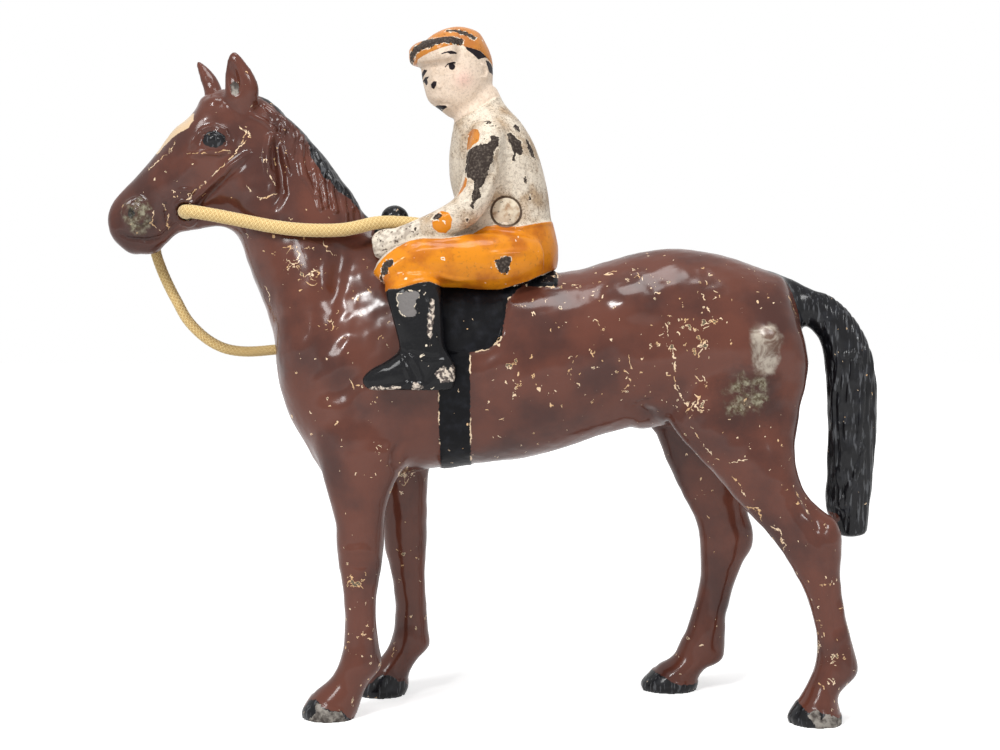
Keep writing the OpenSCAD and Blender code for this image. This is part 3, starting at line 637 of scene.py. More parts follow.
# %% Head carving
# Mounds: place, half sizes, height, tilt in degrees. Strokes: height, half width, path
HEAD_MOUNDS = [
    ((-81.9, 167.8), (8, 5.4), 1.5, 30),
    ((-81.5, 168.4), (3.9, 3.2), 1, 10),
    ((-87.8, 167.4), (2.2, 3), 0.6, 0),
    ((-71.1, 159.1), (13, 15), 1, 0),
    ((-105.9, 147.6), (5.5, 5.5), 1.1, 0),
    ((-107, 146.7), (1.8, 2.2), -1.6, 0),
    ((-82.6, 180.3), (3.2, 2.2), 0.7, 0),
    ((-92.2, 161.5), (8, 4), -0.5, 50),
    ((-103, 136.2), (5, 3), 0.5, 0),
]
HEAD_STROKES = [
    (1.2, 0.9, [(-88, 166.2, 0.5), (-87.2, 168.5), (-85, 170.9), (-81.5, 172), (-78.4, 170.9),
     (-76.8, 168.1, 0.4)]),
    (0.88, 0.9, [(-88.5, 163.8, 0.4), (-85.7, 164.2), (-82.9, 164.6), (-80, 164.2),
     (-76.5, 165.6, 0.5)]),
    (-0.8, 0.7, [(-86.1, 167.1), (-84.7, 169.7), (-81.5, 170.9), (-78.6, 169.7), (-77.5, 167.4)]),
    (0.96, 1, [(-88.5, 150.2), (-85.7, 152.8), (-83.8, 154.5), (-81.5, 156.3), (-79.6, 157.7),
     (-77.7, 159.6), (-76.3, 160.8), (-73.9, 162.4), (-71.1, 164.8, 0.3)]),
    (-0.8, 1.2, [(-87.6, 148.6), (-84.7, 151.6), (-81, 154.9), (-77.2, 158.2),
     (-73.5, 160.6, 0.3)]),
    (0.64, 0.7, [(-92.9, 153.5, 0.5), (-90.4, 153.9), (-88.5, 153.3), (-87.6, 154.5),
     (-87.8, 156.8, 0.3)]),
    (0.8, 0.8, [(-109.1, 145.8), (-109, 148.4), (-107.3, 150.7), (-104.9, 151.5),
     (-102.7, 149.9), (-102, 146.9), (-102.9, 144.5), (-104.8, 144.2), (-106.2, 145.6),
     (-106, 147.5), (-104.6, 148.3, 0.5)]),
    (0.8, 0.7, [(-97.1, 150.9, 0.4), (-97.9, 147.9), (-97.5, 144.1, 0.4)]),
    (0.8, 0.7, [(-95.9, 150.9, 0.4), (-95.4, 147.4), (-96.4, 143.7, 0.4)]),
    (-0.64, 0.6, [(-96.7, 150.2), (-96.7, 144.1)]),
    (0.8, 0.8, [(-101.1, 148.1, 0.5), (-100.3, 145.5), (-101.5, 142.7, 0.5)]),
    (-1.12, 0.8, [(-110.8, 141.1, 0.6), (-107.7, 139.5), (-103, 139.3), (-98.8, 140.6),
     (-96, 142.7), (-93.7, 144.4, 0.4)]),
    (1.12, 1.4, [(-65.7, 169.7, 0.4), (-66.3, 166.2), (-66.3, 162.4), (-65.6, 159.1),
     (-63.9, 155.9), (-64.6, 152.6, 0.4)]),
    (-1.44, 1.8, [(-64.1, 172.8, 0.3), (-63.2, 168.1), (-62.9, 162.4), (-62, 157.7),
     (-61.5, 153), (-63.6, 148.4, 0.3)]),
    (1.12, 1.3, [(-71.1, 176, 0.4), (-67.8, 174.2), (-64.8, 171.3), (-63.2, 167.1),
     (-61.5, 162.4), (-60.1, 158.7, 0.3)]),
    (0.8, 1, [(-67.4, 178.4, 0.4), (-64.6, 175.6), (-62.9, 171.8), (-62.2, 168.1, 0.3)]),
]


def ring_path(middle, radius, points):
    """A round path in the side view."""
    return [(middle[0] + radius * cos(t), middle[1] + radius * sin(t))
            for t in np.linspace(0, 2 * pi, points)]


MOUTH_RING = ring_path(MOUTH, 3.3, 25)
EAR_HOLLOWS = ((NEAR_SIDE, (-76, 186.4), (2.5, 6), -1.9, 8),
               (FAR_SIDE, (-86.4, 187), (1.9, 5), -1.3, 12))

work = Carving(horse)
for view in BOTH:
    work.carve(view, HEAD_MOUNDS, HEAD_STROKES)
    work.stroke(view, MOUTH_RING, height=1.0, width=0.8)
    work.look()
for view, at, size, height, tilt in EAR_HOLLOWS:
    work.mound(view, at, size, height, tilt, facing=0.2)
work.look()
print("head: carved")

# %% [markdown]
# ## Mane and tail
# The locks of the mane are sharp ridges that run down from the crest. They catch bright
# lines of light, so they are narrow. The tail is one mass with a long wavy lock on it
# and finer hair between.

# %% Mane and tail carving
MANE_STROKES = [
    (0.7, 1.1, [(-69.5, 180.6, 0.4), (-67, 178.6), (-65.1, 176.1), (-64.6, 172.1, 0.4)]),
    (0.6, 1, [(-65.5, 178.9, 0.4), (-62.7, 175), (-61.9, 172.1), (-63, 170.4, 0.5)]),
    (0.6, 0.9, [(-63, 176.1, 0.4), (-60.7, 172.7), (-59.9, 168.7), (-60.5, 164.5, 0.6)]),
    (0.6, 0.9, [(-61.6, 175.2, 0.4), (-58.8, 171.3), (-59, 167), (-59.5, 163.6, 0.6)]),
    (0.9, 1.1, [(-57.6, 170.2, 0.4), (-57.3, 165.9), (-56.9, 162), (-55.9, 158), (-53.7, 154.9),
     (-51.4, 151.2), (-50.7, 148.4, 0.7)]),
    (0.8, 0.9, [(-57.1, 169.9, 0.4), (-56.2, 165.3), (-55.4, 162.8), (-54.1, 159.4, 0.6)]),
    (0.8, 0.9, [(-55.4, 167.6, 0.4), (-53.1, 161.4), (-51.7, 156.6), (-51.4, 152.1, 0.6)]),
    (0.8, 0.9, [(-53.1, 165.1, 0.4), (-50.8, 159.1), (-50.1, 155.2), (-49, 149.2, 0.7)]),
    (0.8, 0.9, [(-50.8, 162, 0.4), (-48.3, 156.6), (-48.1, 152.9), (-47.3, 150.4),
     (-46.3, 147.5, 0.7)]),
    (0.7, 0.9, [(-48.6, 159.1, 0.4), (-46.3, 154.3), (-44.9, 150.9), (-43.6, 147),
     (-43.2, 144.7, 0.6)]),
    (0.7, 0.9, [(-46.3, 156.3, 0.4), (-44, 152.6), (-42.4, 148.9), (-41.6, 145.5, 0.6)]),
    (0.6, 0.9, [(-44.3, 154.3, 0.4), (-41.5, 150.1), (-40.1, 147), (-39.5, 144.4, 0.6)]),
    (-0.6, 1, [(-56.5, 167.6), (-54.8, 162), (-53.7, 158), (-51.7, 153.5)]),
    (-0.5, 0.8, [(-53.9, 165.3), (-52, 160), (-50.6, 154), (-49.7, 150.1)]),
    (-0.5, 0.8, [(-51.4, 162), (-49.4, 157.1), (-48.6, 152.3), (-47.7, 148.9)]),
]
TAIL_RIDGE = [
    (0.6, 0.9, [(104.9, 105.2, 0.5), (107.1, 105.8), (109.1, 103.8), (110, 98.6), (110, 92.4),
     (109.1, 82.7), (108.4, 79.3), (110.1, 77), (108.4, 70.8), (105.1, 63.4), (103.7, 60.5, 0.5)]),
    (0.5, 0.8, [(107.1, 103.2, 0.5), (106.8, 97.5), (106, 90.7, 0.3)]),
    (0.5, 0.8, [(103.2, 84.4, 0.5), (103.4, 80.4), (104.3, 76.5), (102.9, 69.1), (103.7, 60.5),
     (106, 56.6, 0.4)]),
    (0.5, 0.8, [(105.1, 84.4, 0.5), (104.9, 80.4, 0.4)]),
    (0.5, 0.9, [(99.2, 115.7, 0.4), (100.9, 109.5), (103.2, 102.1), (102.6, 95.2, 0.4)]),
]

for view in BOTH:
    work.carve(view, [], MANE_STROKES + TAIL_RIDGE, sharp=1)
    work.look()

x, y, z = work.points.T
HAIR_RELIEF = 0.13
hair = step(x, 98, 101) * step(z, 52, 54)
strand = (np.sin(x * 3.1 + np.sin(z * 0.16) * 2.2 + np.sin(z * 0.05 + y * 0.3) * 3)
          + 0.6 * np.sin(x * 5.3 + z * 0.11 + y * 0.7))
work.points += work.normals * (HAIR_RELIEF * hair * strand)[:, None]
work.look()
print("mane and tail: carved")

# %% [markdown]
# ## Muscles, joints and hooves
# Broad mounds and hollows give the shoulder, the croup, the thigh and the knees. Narrow
# ones give the tendons of the cannon bones and the edge where each hoof begins.

# %% Body and leg carving
BODY_MOUNDS = [
    ((-43.9, 103.9), (9, 9), 1, 0),
    ((-59.4, 100.7), (9, 16), 0.8, 0),
    ((-31.5, 76.6), (5, 5), 0.9, 0),
    ((-46.2, 82.8), (9, 12), 0.6, 20),
]
BODY_STROKES = [
    (1.1, 8, [(-52, 138.3, 0.6), (-51.8, 131), (-51.6, 124.1), (-52.2, 118.1, 0.5)]),
    (1.1, 7, [(-47.2, 115.4, 0.4), (-50.9, 110.8), (-55, 106.2), (-57.3, 101.6, 0.4)]),
    (-1, 6, [(-43.5, 137.4, 0.4), (-44, 126.4), (-46.3, 117.2), (-47.2, 109.9, 0.6),
     (-49.9, 102.5, 0.4)]),
    (-0.9, 5, [(-38.9, 106.2, 0.3), (-39.8, 99.7), (-43.5, 95.2), (-49.9, 94.2, 0.3)]),
]
CROUP_MOUNDS = [
    ((41.4, 121), (11, 8), 1.3, -10),
    ((45.5, 110.5), (11, 9), -0.9, 0),
    ((76.2, 106.7), (13, 19), 1.2, 0),
    ((0.2, 102.2), (9, 4), 0.6, 25),
    ((63.4, 100.3), (8, 20), -0.5, 10),
    ((52.6, 105.4), (9, 9), 0.4, 0),
]
CROUP_STROKES = [
    (0.9, 3.4, [(43.8, 93.5, 0.4), (48.3, 90.9), (51.8, 85.8), (56, 80), (61.1, 73.9, 0.4)]),
    (-0.8, 3, [(40.6, 90, 0.3), (45.7, 88), (49, 84.2, 0.3)]),
    (-0.5, 0.8, [(41.4, 90.9, 0.5), (43.5, 92), (45.6, 92.3), (44.6, 90.9, 0.5)]),
]
HIND_MOUNDS = [
    ((79.4, 72.6), (7, 11), 0.8, 20),
    ((96.2, 52.7), (4.5, 6), 0.6, 0),
    ((97.7, 57.7), (4, 3.5), 0.5, 0),
]
HIND_STROKES = [
    (0.6, 2.2, [(83, 65.6, 0.3), (86.1, 57.5), (89.5, 51.9), (93, 48.8, 0.4)]),
    (-0.9, 2.2, [(87.1, 67.5, 0.3), (90.2, 61.9), (93, 56.3, 0.5)]),
    (-0.4, 1.6, [(96.4, 42.6, 0.4), (96.1, 36.3), (97.3, 30.1), (98, 25.1, 0.4)]),
    (0.4, 1.2, [(98.9, 39.5, 0.4), (99.5, 31.4), (101.4, 23.9, 0.4)]),
]
FRONT_STROKES = [
    (-0.9, 1.8, [(-26.2, 70.7, 0.4), (-28.4, 74.3), (-27.9, 77.5), (-25.9, 80.5, 0.4)]),
    (-0.4, 1.4, [(-38.3, 33.1, 0.4), (-38, 26), (-38.9, 18.3, 0.4)]),
    (0.4, 1.2, [(-34.8, 31.4, 0.4), (-35.4, 23.7), (-34.8, 17.2, 0.4)]),
    (0.5, 1.6, [(-42.8, 48.5, 0.3), (-38, 49.4), (-33.9, 47.9, 0.3)]),
    (-0.4, 1.3, [(-42.2, 45, 0.3), (-38, 44.3), (-33.9, 45, 0.3)]),
]

for view in BOTH:
    work.carve(view, BODY_MOUNDS + CROUP_MOUNDS + HIND_MOUNDS,
               BODY_STROKES + CROUP_STROKES + HIND_STROKES + FRONT_STROKES)
    work.look()

# Outlines of the four hooves, seen from the side
NEAR_FRONT_HOOF = [
    (-52.6, 5.8), (-50.7, 6.1), (-48.8, 4.5), (-45.7, 3.5), (-43.2, 3.3), (-42.1, 1.9),
    (-41, 0.3), (-40.7, -2.8), (-56.9, -2.8), (-56.3, 1.4),
]
FAR_FRONT_HOOF = [
    (-35, 6.7), (-33, 7.3), (-30.6, 6.7), (-28.8, 4.9), (-27.3, 4.9), (-25.6, 1.4),
    (-25.6, -2.8), (-43.9, -2.8), (-40.9, 1.4), (-37.7, 4.3),
]
NEAR_HIND_HOOF = [
    (87.4, 6.3), (88.9, 4.3), (92.2, 4.8), (94, 3.9), (96.6, 3), (98.8, 2.4), (101, 3.5),
    (101, -4.5), (83.4, -4.5), (83.9, 1.7),
]
FAR_HIND_HOOF = [
    (49.1, 6.2), (52.4, 5.4), (55.5, 3.6), (57.7, 2.9), (61.1, 2.6), (64.4, 2.6), (64.4, -4.6),
    (43.8, -4.6), (44.7, 1.2),
]
HOOVES = ((NEAR_FRONT_HOOF, -1), (NEAR_HIND_HOOF, -1), (FAR_FRONT_HOOF, 1), (FAR_HIND_HOOF, 1))
HOOF_TOP, HOOF_RISE = 12, 0.35


def hoof_depth(points):
    """How far each point lies inside the outline of its hoof."""
    depth = np.full(len(points), -50.0)
    low = np.where(points[:, 2] < HOOF_TOP)[0]
    for outline, side in HOOVES:
        own = low[points[low, 1] * side > 0]
        depth[own] = np.maximum(depth[own], inside(points[own][:, [0, 2]], outline))
    return depth


lift = HOOF_RISE * step(hoof_depth(work.points), -0.5, 0.2) * step(work.points[:, 2], 0, 1)
work.points += work.normals * lift[:, None]
work.look()
print("legs: carved")

# %% [markdown]
# ## Outline
# Remeshing and softening take a little off every ridge, most off thin legs. Here the
# legs and the tail are swelled back, and then the outline is dragged to its place bit by
# bit, as with a grab brush: each row names an oval, how far it moves, and which side.

# %% Outline drags
OUTLINE_DRAGS = [
    ((-57, 171.5), (9, 9), (0.5, 0.4), 0), ((-50.5, 164), (9, 9), (0.55, 0.4), 0),
    ((-44, 155.5), (9, 9), (0.5, 0.4), 0), ((88.5, 126.8), (10, 8), (0.5, 1.7), 0),
    ((2, 75.5), (14, 12), (0, -0.5), 0), ((16, 77), (14, 12), (0, -0.55), 0),
    ((30, 80), (14, 12), (-0.1, -0.55), 0), ((41, 83.5), (8, 8), (-0.5, -0.5), 0),
    ((46.5, 84), (6, 6), (-1.2, -1), 0), ((91.5, 104), (8, 15), (1.2, 0), 0),
    ((100.8, 98), (4, 20), (-0.5, 0), 0), ((101, 60), (4, 8), (-0.8, -0.2), 0),
    ((112, 66), (6, 22), (0.3, 0), 0), ((107, 51), (8, 4), (0, -0.3), 0),
    ((-58, 90), (8, 15), (-0.8, -0.2), 0), ((-47, 66), (6, 12), (-1.1, 0), -1),
    ((73.7, 33), (6, 12), (0.7, 0), 1), ((80, 49), (6, 8), (0.3, 0), 1),
    ((69, 10), (5, 5), (0.8, -0.4), 1), ((58.7, 62), (8, 12), (-0.6, -0.3), 1),
    ((64.4, 45), (7, 10), (-0.5, 0), 1), ((54.5, 12), (6, 6), (0.6, -0.4), 1),
    ((-89, 191), (4, 8), (-0.6, 0.2), 1), ((-72.8, 190), (4, 7), (-0.5, -0.2), -1),
    ((-79.5, 190), (4, 8), (-0.4, 0), -1), ((-91, 177), (6, 6), (0.35, -0.5), 0),
    ((-88, 182.5), (4, 4), (-0.5, 0.5), 0), ((-101.5, 136.3), (5, 4), (0.4, -0.9), 0),
    ((-86, 141.6), (9, 6), (0, -0.4), 0), ((-74, 142.5), (8, 6), (0, -0.35), 0),
    ((-29.6, 146), (7, 6), (-0.3, 0.45), 0), ((-98, 138), (7, 5), (0.3, -1.1), 0),
    ((91.5, 100), (8, 12), (0.5, 0), 0), ((46, 84), (6, 6), (-0.3, -0.3), 0),
]
LEG_SWELL, TAIL_SWELL = 0.34, 0.25
x, z = work.points[:, 0], work.points[:, 2]
lift = (LEG_SWELL * (1 - step(z, 58, 74)) * (x < 102)
        + TAIL_SWELL * (1 - step(z, 100, 122)) * (x > 94.5))
work.points += work.normals * np.minimum(lift, LEG_SWELL)[:, None]
for at, size, drag, side in OUTLINE_DRAGS:
    work.grab(at, size, drag, side)
work.look()
low, high = work.points.min(0), work.points.max(0)
print("outline:", low.round(1), high.round(1))

# %% [markdown]
# ## The casting's skin
# A sand casting that was filed by hand and dipped in thick enamel is never quite even.
# A slow swell moves the skin in and out by about a tenth of a millimetre. It is what
# breaks the long highlights up. The soles are set flat on the ground again at the end.

# %% Unevenness and soles
def swell(points, size, seed):
    """A smooth uneven field between about -1 and 1, from a few crossing waves."""
    maker = np.random.default_rng(seed)
    total = np.zeros(len(points))
    for _ in range(14):
        wave = maker.normal(size=3)
        wave *= 2 * pi / size / np.linalg.norm(wave) * maker.uniform(0.6, 1.5)
        total += np.sin(points @ wave + maker.uniform(0, 2 * pi))
    return total / 4


def settle(work, amount, seed):
    """Gives a casting its unevenness."""
    lift = amount * (0.7 * swell(work.points, 9, seed) + 0.3 * swell(work.points, 4, seed + 1))
    work.points += work.normals * lift[:, None]
    work.look()


SOLES_BELOW = 0.7  # what lies lower belongs to a sole
settle(work, amount=0.11, seed=4)
on_ground = work.points[:, 2] < SOLES_BELOW
work.points[on_ground, 2] = 0
work.look()
print("lowest point:", round(work.points[:, 2].min(), 3), "mm")

# %% [markdown]
# ## The hole through the mouth
# The cord goes through the head in a drilled hole a little wider than itself. It is cut
# with a round bar, like the one that the frame's solids are cut with.

# %% Mouth hole
HOLE_RADIUS = 2.4
bm = bmesh.new()
bmesh.ops.create_cone(bm, cap_ends=True, segments=48, radius1=HOLE_RADIUS,
                      radius2=HOLE_RADIUS, depth=60,
                      matrix=Matrix.Translation((MOUTH[0], 0, MOUTH[1]))
                      @ Matrix.Rotation(pi / 2, 4, "X"))
drill = new_piece("drill", bm)
cut_away(horse, drill)
bpy.data.objects.remove(drill)
print("horse:", len(horse.data.polygons), "faces")

# %% [markdown]
# ## The rider's main forms
# The rider is made like the horse: the trunk of the body and the head are lofts of level
# rings, the arms and thighs are tubes whose radius changes, and each boot is a loft from
# sole to knee. The cap's crown belongs to the head and its peak is one more loft.

# %% Rows of the rider
HALF_WAIST, HEAD_TURN, HEAD_AXIS, PEAK_TILT = 13, 38, -10.4, 5
BOOT_HALF, BOOT_Y = 3.7, 26.8
# Torso: height, front, back, share of the half waist
TORSO_ROWS = [
    (122.4, -4, 12, 0.9), (127.4, -9, 17.4, 1.1), (132.4, -12.4, 19.1, 1.18),
    (137.4, -13, 19.3, 1.18), (141.4, -12, 18.5, 1.1), (147, -10.8, 17.2, 1),
    (153.4, -12, 16.5, 1.02), (158.4, -13, 15.5, 1.07), (162.4, -13.2, 14.4, 1.11),
    (166.4, -13, 13, 1.13), (170, -12.6, 11.4, 1.09), (173, -12, 9.6, 0.96),
    (175.7, -11.6, 7.6, 0.74), (178, -11.8, 5.4, 0.55), (180.8, -12.6, 3.2, 0.46),
    (185.4, -13, 1, 0.44),
]

# Head and peak: height, front, back, half width
RIDER_HEAD_ROWS = [
    (176.4, -3.8, 5, 4.4), (178.2, -7, 7, 5.8), (180.2, -8.9, 8.6, 7.4), (183, -10.2, 9.8, 8.8),
    (186.4, -11, 10.5, 9.8), (189.4, -11.4, 10.6, 10.2), (192.4, -11.6, 10.6, 10.4),
    (194.8, -11.8, 10.6, 10.4), (197.4, -11, 9.8, 9.5), (199.8, -8.8, 8, 7.6),
    (201.8, -5.6, 5.8, 5.2), (203, -2, 2.2, 2),
]

PEAK_ROWS = [
    (192.4, -13.8, -3, 8.8), (193.4, -14.4, -3, 9.6), (195.4, -14.7, -3, 9.8),
    (197.6, -13.8, -3, 9.6), (199, -11.6, -3, 8.6),
]

# Arm and thigh: X, Y, Z, radius
ARM_ROWS = [
    (-0.8, -10.5, 170.4, 5.2), (-1.8, -14.4, 164.9, 5.4), (-3.2, -15.9, 157.9, 5.2),
    (-5.2, -16.5, 151.4, 5), (-8.4, -16.5, 146.8, 4.7), (-14, -15.5, 143.8, 4.3),
    (-20.5, -14, 141.2, 4), (-27, -12, 138.8, 3.9), (-31.5, -10.8, 137.4, 4.6),
    (-34.6, -10.2, 136.8, 3.8),
]

THIGH_ROWS = [
    (12, -9, 133, 6.5), (6, -12, 132.8, 8), (-2, -15, 132.4, 8), (-10, -17.2, 132.2, 7.2),
    (-18, -18.6, 131.9, 6.8), (-24, -19.4, 131, 6.8), (-28.2, -20, 128.8, 6),
    (-30.4, -20.4, 126, 4.4),
]

# Boot: height, front, back, share of the half width, lean towards the horse
BOOT_ROWS = [
    (95.7, -34, -11.4, 0.86, 0), (96.6, -36.2, -10.7, 0.96, 0), (98.8, -36.8, -10.3, 1, 0),
    (101.2, -34.8, -10.3, 1.02, 0), (103.4, -30.8, -10.8, 1.04, 0),
    (105.6, -27.6, -12.2, 1.06, 0.1), (107.8, -26.3, -13.3, 1.08, 0.2),
    (112.9, -27.4, -13.8, 1.16, 0.8), (118.4, -29.1, -14.2, 1.26, 1.8),
    (123.4, -30.4, -14.6, 1.36, 3.2), (128.4, -30, -16, 1.4, 5),
]

# %% Main forms of the rider
RIDER_FIRST_VOXEL, RIDER_VOXEL = 0.6, 0.42


def head_place():
    """Turns the head to the left on its upright axis."""
    return Matrix.Translation((HEAD_AXIS, 0, 0)) @ Matrix.Rotation(radians(HEAD_TURN), 4, "Z")


def moved(rings, matrix):
    """The rings carried to another place."""
    return [[matrix @ Vector(p) for p in ring] for ring in rings]


bm = bmesh.new()
torso = [(z, front, back, 0, share * HALF_WAIST) for z, front, back, share in TORSO_ROWS]
loft(bm, level_rings(between(torso, steps=3), sides=56))
head = [(z, front, back, 0, half) for z, front, back, half in RIDER_HEAD_ROWS]
loft(bm, moved(level_rings(between(head, steps=3), sides=56), head_place()))
peak = [(z, front, back, 0, half) for z, front, back, half in PEAK_ROWS]
pivot = Matrix.Translation((0, 0, PEAK_ROWS[0][0]))
tilt = head_place() @ pivot @ Matrix.Rotation(radians(-PEAK_TILT), 4, "Y") @ pivot.inverted()
loft(bm, moved(level_rings(between(peak, steps=4), sides=56), tilt))
for side in (-1, 1):
    for rows in (between(ARM_ROWS, steps=4), between(THIGH_ROWS, steps=4)):
        path = [(x, -side * y, z) for x, y, z, radius in rows]
        loft(bm, tube_rings(path, rows[:, 3], sides=32))
    boot = [(z, front, back, side * (BOOT_Y - lean), BOOT_HALF * share)
            for z, front, back, share, lean in between(BOOT_ROWS, steps=3)]
    loft(bm, level_rings(boot, sides=36))
rider = new_piece("rider", bm)
remesh(rider, RIDER_FIRST_VOXEL)
soften(rider, rounds=5)
print("rider:", len(rider.data.polygons), "faces")

# %% [markdown]
# The rider sits on the horse with a thin gap, so the room for the horse is cut out of
# the rider: the same trunk, grown by the saddle's thickness and the gap.

# %% Room for the horse
SEAT_GAP = 0.3
bm = bmesh.new()
loft(bm, upright_rings(body, BARREL, sides=28, grow=SADDLE_RISE + SEAT_GAP))
room = new_piece("room", bm)
cut_away(rider, room)
bpy.data.objects.remove(room)
remesh(rider, RIDER_VOXEL)
soften(rider, rounds=2)
print("rider:", len(rider.data.polygons), "faces")

# %% [markdown]
# ## Carving the rider
# The rider is softer than the horse: the thick paint fills the folds. The face is low
# relief, an eye socket, a short nose and a chin, and the rest of it is painted on. The
# sleeves, the hands, the trousers and the boots get their folds and edges as lines.

# %% Rider carving
FACE_MOUNDS = [
    ((-12.1, 189.8), (2.4, 1.5), -0.35, 0),
    ((-12.1, 189.7), (1.4, 1), 0.3, 0),
    ((-20.1, 186.7), (1.3, 1.5), -0.3, 0),
    ((-17.3, 185), (1.9, 1.6), 0.8, 0),
    ((-17.6, 187.4), (1.5, 3.2), 0.45, -10),
    ((-15.7, 184.1), (1.1, 0.9), 0.3, 0),
    ((-9.6, 186.2), (3.6, 3.2), 0.35, 0),
    ((-16.6, 180.8), (2.2, 1.5), 0.3, 0),
    ((-14.9, 177.8), (2.4, 1.4), 0.3, 0),
    ((-2.6, 189.3), (0.9, 1.4), -0.25, 0),
    ((-14.1, 192.2), (3.6, 1.6), 0.25, -8),
]
FACE_STROKES = [
    (-0.3, 0.6, [(-16.6, 179.2, 0.6), (-14.9, 178.8), (-12.9, 179.2, 0.4)]),
    (0.25, 0.5, [(-13.8, 190.1, 0.5), (-12.9, 190.7), (-11.6, 190.9), (-10.8, 190.5, 0.5)]),
    (0.4, 0.7, [(-3.2, 190.9, 0.5), (-2, 190.6), (-1.6, 189.1), (-2.2, 187.4), (-3.2, 187.2, 0.5)]),
    (-0.25, 0.8, [(-14.5, 187.2, 0.4), (-14.9, 185.1), (-14.1, 183.1, 0.4)]),
    (0.35, 0.9, [(-11.6, 173.6, 0.5), (-7.1, 176), (-2.8, 178.2), (1, 181.2, 0.5)]),
    (-0.3, 0.8, [(-12, 174.4, 0.5), (-7.5, 176.7), (-3.4, 178.9), (0.1, 181.6, 0.5)]),
]
EAR_HOLLOW, EAR_RIM = FACE_MOUNDS[9], FACE_STROKES[2]
SHIRT_STROKES = [
    (-0.5, 1.3, [(-7.2, 171.6, 0.4), (-7.7, 166.8), (-7.9, 161.8), (-8.4, 157.8), (-9.6, 152.8),
     (-11.4, 150.8, 0.5)]),
    (-0.55, 1.6, [(3.6, 167.8, 0.3), (2.8, 164.3), (1.6, 161.1), (0.1, 158.3), (-1.2, 155.6),
     (-2.2, 152.8), (-3.7, 150.1, 0.4)]),
    (-0.35, 0.9, [(2.1, 163.3, 0.5), (3.6, 162.7), (5.3, 163, 0.4)]),
    (0.3, 0.9, [(2.3, 164.1, 0.4), (3.8, 163.6), (5.6, 163.8, 0.4)]),
    (-0.35, 1.2, [(-5.7, 165.3, 0.4), (-4.7, 164.8), (-2.2, 165.8, 0.4)]),
    (-0.35, 1, [(-6.7, 154.3, 0.4), (-4.7, 155.3), (-2.4, 154.8, 0.4)]),
    (-0.35, 1, [(-9.7, 149.6, 0.4), (-7.7, 150.1), (-5.7, 149.3, 0.4)]),
    (0.3, 0.8, [(-8.9, 148.6, 0.4), (-7.2, 149.3), (-5.4, 148.6, 0.4)]),
    (-0.3, 1.1, [(5.3, 155.8, 0.4), (7.3, 153.3), (8.3, 149.8), (8.3, 146.3, 0.4)]),
    (-0.25, 1, [(9.8, 160.8, 0.4), (10.8, 157.1), (11.6, 152.1, 0.4)]),
    (-0.3, 1, [(-10.2, 168.3, 0.4), (-10.7, 163.3), (-10.4, 157.1, 0.4)]),
]
TROUSER_STROKES = [
    (0.45, 1, [(-16.6, 128.6, 0.3), (-13.5, 127.8), (-10.4, 127.1), (-7.3, 126.9, 0.3)]),
    (-0.4, 1.2, [(-17.3, 127.4, 0.3), (-13.5, 126.2), (-9.7, 125.6), (-5, 125.8, 0.3)]),
    (0.4, 1.2, [(-2.3, 133.5, 0.3), (1.1, 134.3), (4.2, 134.5), (8.1, 134.7), (10.9, 135.3, 0.3)]),
    (-0.3, 1.2, [(0.4, 135.8, 0.3), (4.2, 136.2), (10, 137, 0.3)]),
    (0.45, 1.1, [(-32.4, 131.2, 0.6), (-30.4, 133.5), (-28.1, 135.4), (-23.9, 137.8),
     (-19.7, 138.7), (-14.3, 138.5), (-9.5, 139.1), (-6, 140.3), (-2, 142.7, 0.7)]),
    (-0.35, 1.3, [(-29.7, 131.2, 0.4), (-25.4, 134.7), (-20, 136.6), (-14.3, 136.6, 0.3)]),
    (0.4, 1, [(-1.2, 142.7, 0.7), (2.3, 142.8), (7.3, 142.4), (11.9, 143.3), (16.5, 144.4, 0.7)]),
    (0.35, 1, [(-28.9, 124.3, 0.5), (-25.4, 125.1), (-20.8, 126), (-17.7, 126.4), (-15, 125.4),
     (-13.3, 124.2), (-5.4, 124), (2.3, 124.4), (9.6, 126.6), (15, 129.3, 0.5)]),
    (-0.3, 1.1, [(-22, 132.8, 0.3), (-20.8, 130.8), (-18.1, 129.7, 0.3)]),
]
HAND_STROKES = [
    (-0.35, 0.7, [(-21, 143.8, 0.6), (-21.2, 141.7), (-21.3, 139.9, 0.6)]),
    (0.3, 0.6, [(-20.2, 144, 0.6), (-20.4, 141.7), (-20.6, 139.7, 0.6)]),
    (-0.3, 0.7, [(-25.5, 143.2, 0.5), (-25.9, 140.5), (-27.1, 137, 0.4)]),
    (-0.35, 0.6, [(-36.5, 137, 0.4), (-33.7, 137.8), (-30.2, 137.8, 0.4)]),
    (-0.35, 0.6, [(-36.1, 135, 0.4), (-33.3, 135.4), (-30.6, 135.6, 0.4)]),
    (-0.3, 0.6, [(-35.7, 139.3, 0.4), (-33.3, 139.9), (-30.2, 139.7, 0.4)]),
    (0.35, 0.8, [(-34.5, 141.3, 0.5), (-31.8, 142.1), (-29, 141.7, 0.4)]),
]
